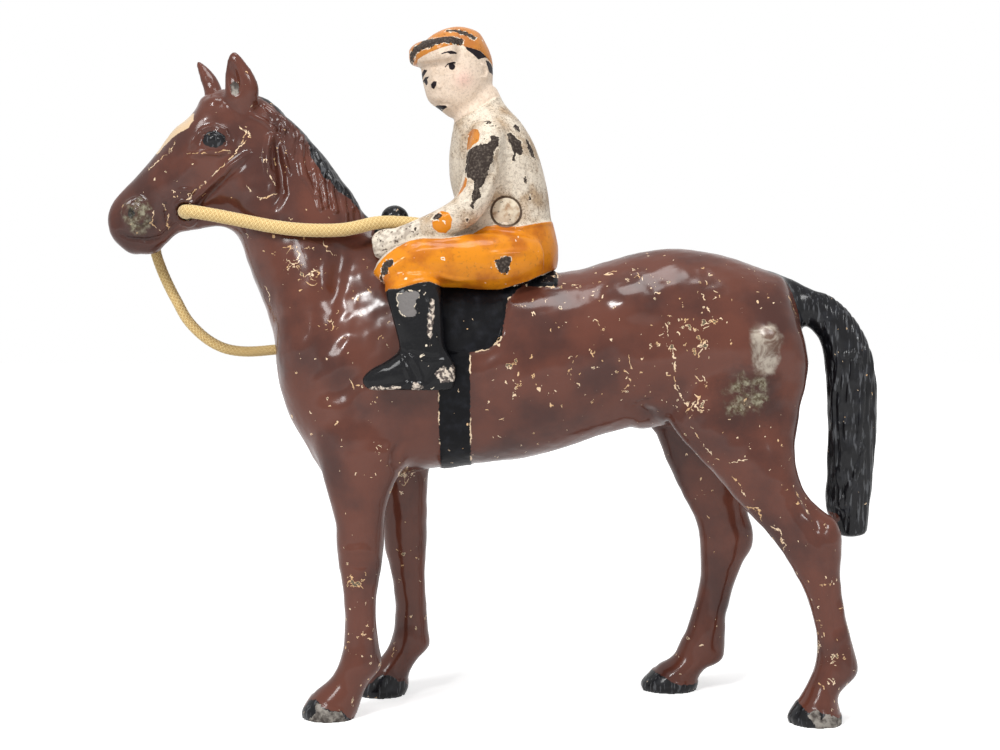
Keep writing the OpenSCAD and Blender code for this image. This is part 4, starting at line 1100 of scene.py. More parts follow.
BOOT_STROKES = [
    (0.4, 0.6, [(-26.2, 106.7, 0.4), (-25, 104), (-24, 101.1), (-22.9, 98.1, 0.6)]),
    (0.4, 0.6, [(-24.1, 106.7, 0.4), (-22, 104.6), (-20.9, 101.9), (-19.5, 98.1, 0.6)]),
    (-0.3, 0.9, [(-25.3, 106.1, 0.4), (-23.2, 102.8), (-21.8, 99.9), (-21.2, 98.4, 0.5)]),
    (0.6, 1, [(-23.8, 97.7), (-22, 96.9), (-19.7, 97.4)]),
    (-0.4, 0.8, [(-19.1, 97.5, 0.5), (-17.3, 99.6), (-16.1, 101.9), (-14.1, 103.4, 0.4)]),
    (0.35, 1.2, [(-18.2, 119.1, 0.4), (-17.3, 115.2), (-16.4, 111.1), (-15.3, 107, 0.4)]),
    (-0.35, 1, [(-28, 107, 0.4), (-23.2, 106.1), (-17.9, 104.9), (-14.1, 104.9, 0.3)]),
    (0.35, 0.9, [(-35.3, 96, 0.6), (-31.5, 96.3), (-26.8, 96.6), (-23.8, 96.9, 0.5)]),
    (0.3, 1, [(-29.7, 122.3, 0.4), (-28.2, 117.9), (-26.8, 112.9), (-25.9, 108.1, 0.4)]),
]
RIVET_AT, RIVET_EDGE = (3.9, 147), 4.3
RIVET_RING = ring_path(RIVET_AT, RIVET_EDGE, 33)

refine(rider, lambda p: p.z > 174 and p.y < -1 and p.x < 2)
work = Carving(rider)
work.carve(NEAR_SIDE, FACE_MOUNDS, FACE_STROKES)
# The far ear repeats the near one
height, width, path = EAR_RIM
work.mound(FAR_SIDE, *EAR_HOLLOW)
work.stroke(FAR_SIDE, path, height, width)
for view in BOTH:
    work.carve(view, [], SHIRT_STROKES + TROUSER_STROKES + HAND_STROKES + BOOT_STROKES)
    work.stroke(view, RIVET_RING, height=-0.5, width=0.7)
# The chin goes in and up, the back of the cap forward and down
work.grab((-16.5, 177.5), (6, 5), (0.5, 0.7))
work.grab((-0.5, 197), (5, 8), (-0.9, -0.3))
work.look()
print("rider:", len(rider.data.polygons), "faces, carved")

# %% [markdown]
# The cap's edge and the edge of the trousers stand up as steps, so the same outlines
# that will say where each colour goes also raise the skin here.

# %% Outlines on the rider
CAP = [
    (-24.4, 193.4), (-24.2, 194.8), (-21.7, 196.9), (-19.5, 198.2), (-9, 197.8), (-8.7, 196),
    (-7.9, 195.5), (-3.6, 194.8), (-1.6, 193.1), (-0.5, 192.2), (0.4, 190.3), (3.2, 190.5),
    (1.6, 197.5), (-6.7, 203.7), (-17, 203.7), (-25.3, 197.5),
]
PEAK = [
    (-25.5, 193), (-25.3, 197.5), (-19.5, 199.6), (-9, 197.8), (-8.9, 196), (-11.6, 195.6),
    (-17, 194), (-22.2, 192.2), (-22.7, 190.3), (-24.8, 190.5),
]
TROUSERS = [
    (-34.3, 128.9), (-32.4, 131.5), (-30.4, 133.6), (-28.1, 135.5), (-23.9, 137.9),
    (-20, 138.8), (-14.3, 138.6), (-9.7, 139.3), (-6.2, 140.4), (-2, 142.7), (0.7, 143.1),
    (7.3, 142.5), (11.9, 143.5), (16.7, 144.6), (21.9, 145.5), (21.9, 128.1), (17.3, 130.1),
    (10, 126.6), (2.3, 124.3), (-5.4, 123.8), (-13.5, 124), (-15, 125.1), (-17.7, 126.2),
    (-20.8, 125.8), (-26.6, 124.1), (-29.3, 124.1), (-31.2, 122.6), (-35.8, 122),
]
HAND = [
    (-38, 140.5), (-32.9, 142.3), (-25.9, 143.4), (-21, 144.2), (-21.1, 139.7), (-24.3, 138.3),
    (-28.6, 135.8), (-32.9, 131.8), (-34.9, 130.3), (-38, 131.5),
]
SKIN_EDGE = [
    (-12, 174), (-7.5, 176.3), (-3.4, 178.5), (0.6, 181.5), (3.6, 183.1), (5.7, 207.8),
    (-35.6, 207.8), (-35.6, 170.7), (-14.9, 168.6),
]


def mask(points, outline, near=None):
    """Depth inside an outline in the side view; near=-1 or 1 keeps one side only."""
    depth = inside(points[:, [0, 2]], outline)
    if near is not None:
        depth = np.minimum(depth, near * points[:, 1])
    return depth


def masks(points, outlines, near=-1):
    """Depth inside whichever outline it is deepest in, on the near side by default."""
    return np.maximum.reduce([mask(points, outline, near) for outline in outlines])


EDGE_RISE = 0.3
cap_depth, trouser_depth = mask(work.points, CAP), mask(work.points, TROUSERS)
work.points += work.normals * (EDGE_RISE * step(cap_depth, -0.4, 0.3)
                               + EDGE_RISE * step(trouser_depth, -0.4, 0.3))[:, None]
work.look()
settle(work, amount=0.07, seed=21)
print("rider: edges raised")

# %% [markdown]
# ## Where each colour goes
# The toy is painted by hand with a few flat enamels. Each colour's place is kept as a
# number on every point of the mesh: how many millimetres it lies inside that colour's
# outline. A material turns such a number into an edge as sharp or as ragged as it wants,
# which a picture of the same size couldn't do.

# %% Painted places on the horse
MANE_BLACK = [
    (-69.5, 181.8), (-66.3, 179.9), (-63.6, 177.3), (-59.6, 174), (-56.4, 170.6),
    (-54.5, 167.3), (-54.1, 163.9), (-52.3, 161.5), (-51.1, 159.7), (-50.2, 157.6),
    (-48.1, 156.9), (-46.2, 153.9), (-42.6, 151.5), (-39.2, 147.5), (-38, 145.7),
    (-32.8, 141.4), (-29.8, 147.5), (-45, 165.8), (-57.2, 177.9), (-66.3, 184),
]
TAIL_BLACK = [
    (80, 129.5), (84.5, 124.7), (87.3, 120), (89.2, 114), (90, 108), (93.3, 104),
    (95.3, 58.7), (102.4, 57.9), (103.7, 56), (100.2, 52.2), (100.2, 46.8), (125.6, 46.8),
    (125.6, 127.9), (93.2, 132.2),
]
NEAR_FRONT_METAL = [
    (-51.3, 5.7), (-49.5, 5.1), (-48, 3.8), (-43.5, 3.2), (-42.4, 1.4), (-41.7, -0),
    (-43.5, -1.4), (-53.8, -1.1), (-52.4, 1.1), (-50.7, 2.8),
]
NEAR_HIND_METAL = [
    (88.9, 4.1), (92.2, 5.4), (92.9, 1.7), (93.8, 4.3), (98.4, 2.6), (99.3, 1.7), (99.7, -2.7),
    (90, -2.7), (91.4, -0.1),
]
BLAZE = [
    (-88.6, 176.8), (-88, 174.4), (-89.5, 172), (-93.3, 170.1), (-97.1, 167.3), (-99.7, 164.4),
    (-100.9, 165.4), (-96.2, 171.5), (-91.4, 176.3),
]
HIP_IRON = [
    (73.3, 112.4), (74.6, 114.4), (78.3, 114.4), (80.9, 113.9), (83.5, 110.3), (82, 106.9),
    (82.3, 104.9), (81.2, 101.9), (79.9, 99.8), (77.9, 99), (75, 99.8), (73.8, 102.6),
    (73.5, 107.5),
]
HIP_PATINA = [
    (66.6, 94.9), (70.4, 99.1), (73.7, 98.3), (75, 99.3), (78.1, 98.6), (77.8, 94.4),
    (78, 91.4), (76.6, 89.9), (73.7, 92.1), (70.7, 88.1), (67.3, 88.6), (66.7, 91.3), (70, 93.1),
]
# Where the enamel is chipped most: X, Z, radius, strength
SCUFFS = [
    (-55.4, 131.2, 8.6, 0.8), (-45.3, 114, 4.3, 0.6), (-39.6, 123.2, 4, 0.6),
    (-40.4, 97, 4, 0.7), (-34.7, 90.1, 7.2, 0.6), (-31.5, 76.9, 3.4, 0.7),
    (-48.2, 98.2, 8.6, 0.3), (-46.8, 86.7, 8.6, 0.45), (6.4, 99.6, 8.6, 0.75),
    (12.2, 96.7, 7.2, 0.5), (19.3, 121.2, 11.5, 0.55), (30.8, 126.9, 8.6, 0.6),
    (43.8, 129.8, 10.1, 0.7), (56.7, 112.5, 10.9, 1), (59.6, 124, 10.1, 0.7),
    (49.5, 92.4, 7.2, 0.6), (25.1, 101, 11.5, 0.55), (39.5, 101, 8.6, 0.5),
    (2.1, 86.7, 10.1, 0.4), (71.1, 121.2, 11.5, 0.4), (56.7, 89.5, 7.2, 0.9),
    (-94.2, 155.6, 5.2, 0.7), (-87, 160, 4.3, 0.4), (-98.5, 164.3, 5.7, 0.5),
    (-72.6, 161.4, 5.7, 0.5), (-66.3, 138.4, 8.6, 0.5), (-55.4, 145.6, 8.6, 0.35),
    (-64.6, 164.3, 5.7, 0.5), (-104.2, 145.6, 4, 0.5), (-89.3, 142.7, 4, 0.6),
    (-71.2, 171.4, 3.4, 0.6), (-38.1, 23.5, 6.3, 0.8), (-35.3, 37.8, 6.3, 0.7),
    (-42.4, 9.1, 5.7, 0.6), (-25.2, 69.4, 4, 1), (-28.1, 46.4, 5.2, 0.5),
    (-42.4, 57.9, 7.2, 0.4), (71.1, 83.8, 8.6, 0.6), (59.6, 80.9, 7.2, 0.5),
    (85.4, 72.3, 10.1, 0.4), (88.3, 57.9, 8.6, 0.6), (96.9, 34.9, 8, 0.6),
    (95.5, 23.5, 8.6, 0.8), (98.4, 12, 6.9, 0.8), (59.6, 23.5, 5.2, 0.6),
    (65.3, 57.9, 8.6, 0.35), (56.7, 14.8, 5.7, 0.5), (79.7, 80.9, 7.2, 0.5),
    (-23.8, 23.5, 5.7, 0.5), (-32.4, 14.8, 4, 0.6), (-40.2, 39.2, 3, 1.5),
    (-26.6, 66, 3.5, 1.4), (97.5, 41, 3, 1),
]
NOSTRIL_WORN = [
    (-108.6, 146), (-107.5, 150), (-103.5, 151.5), (-101, 148.5), (-101.5, 144), (-104, 141),
    (-107.5, 142),
]
EAR_WORN = [
    (-77.4, 184.8), (-76.4, 186), (-74.9, 185), (-74.5, 182.4), (-75.6, 181), (-76.8, 182),
]
# Crooked lines of small chips, each a path of X and Z. The line along the jowl is partly
# worn paint and partly painted highlight, and the line under the eye is painted highlight.
CHIP_AND_GLINT_CURLS = [
    [(-60.9, 136.4), (-59.1, 137.3), (-58.3, 136.4), (-59.4, 135.2)],
    [(-57.1, 135.8), (-56, 134.8), (-56.5, 133.2), (-55.3, 131.9)],
    [(-59.4, 132.7), (-56.8, 130.4)], [(-59.4, 130.9), (-56.5, 132.2)],
    [(-51.1, 129.6), (-53.4, 128.9), (-54.2, 127.5), (-53.4, 125.5), (-51.4, 125.8)],
    [(-52.7, 127.8), (-50.5, 128.1), (-51.1, 129.3)],
    [(-49.1, 137.8), (-48.2, 135.8), (-46.5, 134.5)],
    [(-47.2, 115.1), (-45.3, 113.5), (-47.5, 112.8)], [(-45.6, 114.8), (-46.2, 112.8)],
    [(-40.2, 123.5), (-39.4, 121.6)], [(-36.9, 124.9), (-35.6, 123.8)],
    [(-31.7, 110.6), (-30.1, 108)], [(-33.3, 108.7), (-32.7, 110.3)],
    [(-40.7, 98), (-40, 96.2)], [(-66.6, 124.9), (-65.3, 122.9), (-65.5, 120.9)],
    [(57.3, 84.4), (60.2, 80.1), (63.3, 76), (66.8, 74.6), (71.7, 75.5)],
    [(68.8, 70.3), (70.2, 68.6), (71.7, 65.7)], [(73.1, 61.7), (76, 61.4), (76.8, 58.5)],
    [(79.7, 56.5), (82, 55), (83.2, 50.2)], [(28, 116), (30.3, 114.8), (31.4, 112)],
    [(22.8, 103.1), (21.6, 100.2), (22.8, 98.2)], [(38.9, 104.8), (39.5, 101.9)],
    [(49.5, 114), (50.1, 111.4)], [(60.5, 122.6), (61.9, 118.3)],
    [(63.9, 124.6), (65.1, 122.6)],
    [(51.5, 106.8), (52.4, 101), (51.8, 99), (53.3, 94.4), (55.9, 91.6)],
    [(60.5, 99), (61.3, 96.7), (58.2, 99)], [(55, 91.8), (57.3, 89.5), (56.7, 87.8)],
    [(57.6, 91.6), (55.6, 89.2)], [(86.9, 122), (87.5, 119.2), (88.6, 116.9)],
    [(86.9, 66), (89.2, 62.2), (90.6, 58.8)],
    # Along the jowl: worn paint and painted highlight
    [(-90.3, 150.5), (-87.3, 153.7), (-84.1, 156.4), (-80.9, 159), (-78.5, 161.1),
     (-76.7, 163.1), (-72.9, 167.5)],
    [(-103.5, 158.7), (-101.5, 160.5), (-99.1, 162.2), (-97, 164)],
    [(-94.4, 165.5), (-93.8, 167.5)],
    [(-71.5, 154.3), (-70.3, 151.9), (-67.9, 150.8), (-65.6, 151.4), (-63.8, 152.2)],
    [(-65.6, 159), (-65, 157.2), (-63.8, 155.5)],
    [(-100.3, 147.2), (-100.9, 144.3), (-99.4, 142.5)],
    [(-97, 149.3), (-96.2, 146.4), (-96.8, 143.1)],
    [(-74.2, 172.1), (-72.6, 170.5), (-73.5, 167.5)],
    # Under the eye: painted highlight
    [(-89.1, 164), (-86.2, 164.3), (-82.6, 164), (-79.7, 164.9), (-77, 165.2)],
]


def keep(piece, name, values):
    """Keeps a number for each point of the piece under a name."""
    layer = piece.data.attributes.new(name, "FLOAT", "POINT")
    layer.data.foreach_set("value", np.asarray(values, np.float32))


def spots(points, places, least):
    """The highest of a few soft round places, each with X, Z, radius and strength."""
    total = np.full(len(points), least)
    for x, z, radius, strength in places:
        away = np.hypot(points[:, 0] - x, points[:, 2] - z) / radius
        total = np.maximum(total, strength * np.clip(1.5 - away, 0, 1))
    return total


def curl_field(points, paths, reach=1.4):
    """Each point's distance from the nearest curl, signed by its side, and how near that is."""
    flat = points[:, [0, 2]]
    near, side = np.full(len(flat), 99.0), np.ones(len(flat))
    for path in paths:
        for start, end in zip(np.array(path), np.array(path[1:])):
            run = end - start
            share = np.clip((flat - start) @ run / (run @ run), 0, 1)
            away = np.linalg.norm(flat - start - share[:, None] * run, axis=1)
            turn = run[0] * (flat[:, 1] - start[1]) - run[1] * (flat[:, 0] - start[0])
            closer = away < near
            near[closer], side[closer] = away[closer], np.where(turn[closer] < 0, -1, 1)
    return near * side, np.where(points[:, 1] < 0, 1 - near / reach, -1)


def oval(points, at, radius, wide, high):
    """Depth inside an oval in the side view: a circle stretched by two factors."""
    return radius - np.hypot((points[:, 0] - at[0]) / wide, (points[:, 2] - at[1]) / high)


POMMEL_RIM, OUTSIDE = 1.0, -9
p = Carving(horse).points
middle = np.abs(p[:, 1])
saddle, girth = saddle_depth(p), girth_depth(p)
pommel = KNOB_RADIUS + POMMEL_RIM - to_segment(p, POMMEL_NECK[0], KNOB)
eye = oval(p, (-81.6, 168.3), 2.9, 1.12, 0.86)
# A black spot in the nostril's carved hollow: painted shade of the hole
nostril_painted_shade = oval(p, (-106.8, 147), 1.3, 0.9, 1.4)
tail_reach = 5.2 - middle + 8 * step(p[:, 0], 93.5, 96)
black = np.maximum.reduce([saddle, girth, np.where(p[:, 2] > 137, pommel, OUTSIDE),
                           np.where(middle < 9, mask(p, MANE_BLACK), OUTSIDE),
                           np.minimum(mask(p, TAIL_BLACK), tail_reach), hoof_depth(p), eye,
                           nostril_painted_shade])
curl, near_curl = curl_field(p, CHIP_AND_GLINT_CURLS)
for name, values in (("black", black),
                     ("metal", masks(p, [NEAR_FRONT_METAL, NEAR_HIND_METAL, EAR_WORN])),
                     ("hip", masks(p, [HIP_IRON])),
                     ("patina", masks(p, [HIP_PATINA, NOSTRIL_WORN])),
                     ("flap", np.maximum(saddle, girth)),
                     ("scuff", 0.85 * spots(p, SCUFFS, 0.06)),
                     ("cream", mask(p, BLAZE)), ("curl", curl), ("near_curl", near_curl)):
    keep(horse, name, values)
print("horse: black on", int((black > 0).sum()), "of", len(p), "points")

# %% Painted places on the rider
PEAK_WORN = [
    (-24.4, 192.6), (-24.2, 194.2), (-22.8, 196.1), (-19.5, 198.2), (-9, 197.8), (-8.9, 196.5),
    (-10.2, 196.1), (-12.9, 196.4), (-15.8, 196.2), (-18.6, 195.4), (-20.5, 194.9),
    (-22.4, 194.6), (-23.5, 193.4), (-23.9, 192.2),
]
HAIR = [
    (-8, 195.6), (-6.7, 195.4), (-3.6, 194.8), (-1.7, 193.4), (-2.8, 193), (-4.3, 192.2),
    (-5.4, 193.2), (-7.7, 194.8),
]
HAIR_BACK = [
    (-2.2, 192.5), (-1.3, 192.5), (-0.5, 191.9), (0.3, 190.2), (4, 190.4), (4, 187.5),
    (0.6, 188.2), (-0.2, 189), (-1.1, 189.2), (-1.7, 190.9),
]
FAR_BROW = [
    (-21.7, 188.3), (-20.3, 189.4), (-19.8, 189.2), (-20.7, 188.2), (-21.3, 187.5),
]
FAR_EYE = [
    (-20.9, 186.8), (-20.1, 187.5), (-18.9, 187.4), (-19.1, 187.1), (-19.6, 186.9), (-19.3, 186),
    (-19.5, 185.2), (-19.9, 185.3), (-20.2, 186.1), (-20.6, 186.2),
]
# Pale crackled marks down the front of the near boot: a painted highlight, the lamp's glint painted
# into the colour
BOOT_PAINTED_GLINT = [
    (-18.7, 123.5), (-15.2, 122.1), (-14.9, 115.4), (-16.4, 106.2), (-18.7, 105.3),
    (-19.9, 112.5),
]
# Brow, lid and iris of the near eye, the chip on the nose, the mouth
NEAR_FACE_LINES = [
    [(-15.4, 192.8), (-14.1, 193.4), (-12, 193.9), (-10.5, 193.6), (-10.6, 193.1),
     (-12.5, 192.8), (-13.1, 193.2), (-14.9, 192.7)],
    [(-14.1, 189.7), (-13.3, 190.6), (-11.6, 191.1), (-10.8, 190.9), (-11, 190.5),
     (-12.2, 190.5), (-13.5, 190.1), (-13.9, 189.4)],
    [(-13, 190.3), (-12.2, 190.7), (-11.3, 190.4), (-11, 189.7), (-11.3, 189), (-12, 188.7),
     (-12.8, 189.2)],
    [(-18.3, 184.9), (-17.4, 185.8), (-16.5, 185.6), (-16.6, 184.5), (-17.4, 183.6),
     (-18.1, 184.1)],
    [(-18.1, 179.1), (-16.9, 179.4), (-13.9, 179), (-13.5, 178.5), (-14.5, 178.1),
     (-15.5, 177.7), (-16.9, 177.9)],
]
# Orange patches on the sleeve
SLEEVE_PATCHES = [
    [(-17.4, 143.9), (-16.7, 145.6), (-14.7, 146.8), (-12.6, 146.2), (-11.6, 144.3),
     (-12, 141.7), (-13.6, 140.4), (-15.9, 140.7), (-17.2, 141.9)],
    [(-7.2, 170.1), (-5.7, 171.2), (-4.2, 170.6), (-3.7, 168.8), (-4.1, 166.8), (-5.7, 165.8),
     (-6.7, 164.7), (-7.6, 165.1), (-7.4, 167.8)],
    [(-7.9, 156.6), (-7.3, 155.8), (-7.7, 153.8), (-8.9, 152.1), (-10.1, 150.9), (-9.7, 152.1),
     (-8.7, 154.1)],
]
# Large chips: arm, back, shoulder, collar, side, elbow, patch, thigh, knee, boot, cap
RIDER_CHIPS = [
    [(-7.4, 164), (-4.9, 165.6), (-2.2, 166), (-0.4, 167.1), (-0.6, 168.2), (0.6, 168.7),
     (2, 168.2), (1.7, 165.7), (0.6, 164.5), (0.4, 161.7), (-0.7, 159.5), (-1.5, 157),
     (-2.4, 154.7), (-3.7, 153), (-3.3, 151), (-4.7, 149.2), (-5.5, 147.1), (-6.5, 148),
     (-6, 150.7), (-5.4, 153.5), (-5.2, 155), (-7.2, 156.5), (-8, 158.7), (-7.9, 162)],
    [(3.9, 169.8), (5.3, 170.1), (6.8, 168.8), (8.3, 167.8), (8.8, 165.3), (8.3, 163.6),
     (6.8, 164.1), (6.3, 161.8), (5.5, 161.3), (5.1, 162.8), (6.3, 163.8), (5.6, 164.8),
     (5, 166.8)],
    [(9, 169.6), (10.4, 168.1), (11.6, 166.1), (12.9, 162.6), (11.4, 163.6), (10.4, 165.8)],
    [(5.7, 172.4), (6.6, 173), (7.5, 172.2), (7.8, 170.7), (6.6, 171.4)],
    [(-2.4, 173.2), (-1.2, 173.5), (-0.2, 172.9), (-0.4, 172.2), (-1.3, 172.4), (-1.8, 171.9)],
    [(9, 157.7), (9.6, 157.7), (10.1, 156.4), (9.7, 155.2), (9.1, 155.7)],
    [(10.4, 152.2), (11, 152.4), (11.4, 151.2), (10.9, 150.5)],
    [(-8, 144.3), (-7.1, 145), (-6.8, 144.1), (-7.5, 143.2)],
    [(-17.7, 144.6), (-16.8, 145.7), (-15.1, 146.2), (-14.2, 145.3), (-15.6, 144.2),
     (-16.8, 144.3)],
    [(0.7, 132.6), (2.7, 133.2), (4.2, 133.8), (5.1, 133), (5, 131.1), (4.4, 129.2),
     (3.4, 128.3), (2.1, 129.2), (0.9, 130.3)],
    [(-30.8, 131.7), (-28.7, 132.8), (-27.8, 131.7), (-29.2, 129.9), (-29.6, 128.6),
     (-31, 127.7), (-31.2, 126.1), (-32.1, 126.5), (-31.5, 129.6)],
    [(-26.8, 121.7), (-26.2, 122.7), (-24.4, 123.3), (-20.6, 123.5), (-20.4, 122.3),
     (-21.5, 120.8), (-21.8, 118.8), (-20.9, 117.6), (-22, 116.4), (-24.1, 116.1), (-25.6, 117),
     (-26.5, 118.5), (-26.2, 120.2)],
    [(-14.1, 200.6), (-13.7, 201.4), (-8.7, 201.2), (-5, 199.2), (-5.4, 198.1), (-7.5, 199),
     (-9.6, 199.8), (-11.6, 200.4)],
]
# Chips down to the pale ground: heel, toe, stirrup
PALE_CHIPS = [
    [(-16.5, 100.2), (-15, 101.6), (-13.6, 102.3), (-12.4, 101.3), (-11.2, 103.1), (-10.6, 101),
     (-10.7, 98.6), (-12.1, 97.9), (-14.5, 98), (-15.6, 99.2)],
    [(-35.5, 95.9), (-33.4, 96.7), (-31.7, 96.8), (-29.9, 96.5), (-25.7, 96.8), (-25.7, 96.2),
     (-30.5, 95.8), (-33.4, 95.4)],
    [(-22.6, 97.5), (-20.9, 98.1), (-19.5, 96.6), (-20.9, 95.6), (-22.5, 95.6)],
]
SHIRT_SCUFFS = [(-1, 168, 6, 0.8), (-4, 147, 5, 0.5), (6, 160, 8, 0.4), (-14, 144, 5, 0.7),
                (-30, 138, 5, 0.5), (-20, 142, 4, 0.7)]
HANDS_FROM, RING_HALF = 128.5, 0.45

p = Carving(rider).points
trousers = mask(p, TROUSERS)
orange = np.maximum.reduce([trousers, mask(p, CAP), mask(p, PEAK),
                            masks(p, SLEEVE_PATCHES), masks(p, SLEEVE_PATCHES, 1)])
dark = np.maximum.reduce([mask(p, HAIR), mask(p, HAIR_BACK), masks(p, NEAR_FACE_LINES),
                          mask(p, FAR_BROW, -1) + 0.3, mask(p, FAR_EYE, -1) + 0.05])
worn = np.maximum(masks(p, RIDER_CHIPS), mask(p, PEAK_WORN, -1) + 0.35)
# Pale marks: chips down to the ground coat, and the painted highlight down the boot
pale_chips_and_glint = np.maximum(masks(p, PALE_CHIPS), mask(p, BOOT_PAINTED_GLINT, -1) - 1.5)
from_rivet = np.hypot(p[:, 0] - RIVET_AT[0], p[:, 2] - RIVET_AT[1])
for name, values in (("orange", orange),
                     ("boots", np.minimum(-trousers, HANDS_FROM - p[:, 2])),
                     ("dark", dark), ("chips", worn), ("pale_chips_and_glint", pale_chips_and_glint),
                     ("skin", np.maximum(mask(p, SKIN_EDGE), mask(p, HAND))),
                     ("cheek", hill(p[:, 0], p[:, 2], (-8.7, 186.2), (2.6, 2.4)) * (p[:, 1] < -2)),
                     ("ring", RING_HALF - np.abs(from_rivet - RIVET_EDGE)),
                     ("scuff", spots(p, SHIRT_SCUFFS, 0.12))):
    keep(rider, name, values)
print("rider: orange on", int((orange > 0).sum()), "of", len(p), "points")

# %% [markdown]
# ## Two halves each
# A hollow casting like this is made in two halves. Each half is cut on the middle plane
# and closed there. The rim is drawn in a little before it is closed, which leaves the
# fine parting line that runs over the real toy's back and along its belly.

# %% Halves
PARTING = 0.12


def half_of(piece, name, side):
    """The half of a casting on one side of its parting plane."""
    bm = bmesh.new()
    bm.from_mesh(piece.data)
    bmesh.ops.bisect_plane(bm, geom=bm.verts[:] + bm.edges[:] + bm.faces[:], dist=1e-4,
                           plane_co=(0, 0, 0), plane_no=(0, -side, 0), clear_outer=True)
    rim = [edge for edge in bm.edges if edge.is_boundary]
    for vert in {vert for edge in rim for vert in edge.verts}:
        inwards = vert.normal.copy()
        inwards.y = 0
        vert.co -= inwards * PARTING
        vert.co.y = 0
    bmesh.ops.triangle_fill(bm, use_beauty=True, edges=rim, normal=(0, -side, 0))
    bm.transform(Matrix.Scale(MM, 4))
    bmesh.ops.recalc_face_normals(bm, faces=bm.faces)
    # Only the flat faces on the middle plane are shaded flat
    for face in bm.faces:
        face.smooth = abs(face.normal.y) < 0.9999 or abs(face.calc_center_median().y) > 1e-6
    mesh = bpy.data.meshes.new(name)
    bm.to_mesh(mesh)
    open_edges = sum(edge.is_boundary for edge in bm.edges)
    bm.free()
    half = bpy.data.objects.new(name, mesh)
    bpy.context.scene.collection.objects.link(half)
    triangles = sum(len(face.vertices) - 2 for face in mesh.polygons)
    print(name + ":", triangles, "triangles,", open_edges, "open edges")
    return half


horse_left = half_of(horse, "horse_left", -1)
horse_right = half_of(horse, "horse_right", 1)
rider_left = half_of(rider, "rider_left", -1)
rider_right = half_of(rider, "rider_right", 1)
bpy.data.objects.remove(horse)
bpy.data.objects.remove(rider)

for half, body_name, node_name, slot in (
        (horse_left, "horse", "horse_left_half", "horse_iron"),
        (horse_right, "horse", "horse_right_half", "horse_iron"),
        (rider_left, "rider", "rider_left_half", "rider_iron"),
        (rider_right, "rider", "rider_right_half", "rider_iron")):
    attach(half, body_name)
    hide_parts(node_name)

# %% [markdown]
# ## The knot
# The two ends of the cord meet between the hands in a small wound knot: the same cord,
# drawn thin by the pull, goes twice round itself.

# %% Knot
KNOT_RADIUS, KNOT_LENGTH, KNOT_END, THIN_RADIUS = 1.35, 4.2, 3.35, 1.6
turns = np.linspace(0, 1, 120)
wound = np.column_stack([KNOT[0] + KNOT_RADIUS * np.cos(4 * pi * turns),
                         KNOT_LENGTH * (turns - 0.5),
                         KNOT[2] + KNOT_RADIUS * np.sin(4 * pi * turns)])
start, end = (KNOT[0], -KNOT_END, KNOT[2]), (KNOT[0], KNOT_END, KNOT[2])
ends = (between([start, wound[0], wound[1]], 20)[:20],
        between([wound[-2], wound[-1], end], 20)[20:])
line = np.vstack([ends[0], wound, ends[1]])
run = np.concatenate([[0], np.cumsum(np.linalg.norm(np.diff(line, axis=0), axis=1))])
knot = braided_cord("knot", line, run, THIN_RADIUS, sides=32)
print("knot:", len(knot.data.polygons), "faces")

# %% Cord
for piece in (reins, knot):
    for face in piece.data.polygons:
        face.use_smooth = True
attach(knot, "rider")
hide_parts("rein_knot")
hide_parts("near_rein", "far_rein")
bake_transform(reins)

# %% [markdown]
# ## Helpers for materials
# A material is a small network of nodes. A mixer adds the nodes, each with one short
# call. What a node gives is a value, and values can be added, subtracted and multiplied
# like numbers, each time with a node of its own, so a step of a material is one line.

# %% Node helpers
class Value:
    """What a node gives: a number, a place or a colour, at every point of a surface."""

    def __init__(self, mixer, socket):
        self.mixer, self.socket = mixer, socket

    def math(self, operation, a, b=0.0, clamp=False):
        """A Math node's result."""
        return self.mixer.node("ShaderNodeMath", {0: a, 1: b}, operation=operation,
                               use_clamp=clamp)

    def __add__(self, other):
        return self.math("ADD", self, other)

    def __radd__(self, other):
        return self.math("ADD", other, self)

    def __sub__(self, other):
        return self.math("SUBTRACT", self, other)

    def __rsub__(self, other):
        return self.math("SUBTRACT", other, self)

    def __mul__(self, other):
        return self.math("MULTIPLY", self, other)

    def __abs__(self):
        return self.math("ABSOLUTE", self)

    def larger(self, other):
        """The larger of the two."""
        return self.math("MAXIMUM", self, other)

    def edge(self, low, high):
        """0 below low, 1 above high, with a soft edge between."""
        ends = {"Value": self, "From Min": low, "From Max": high}
        return self.mixer.node("ShaderNodeMapRange", ends, "Result",
                               interpolation_type="SMOOTHSTEP")


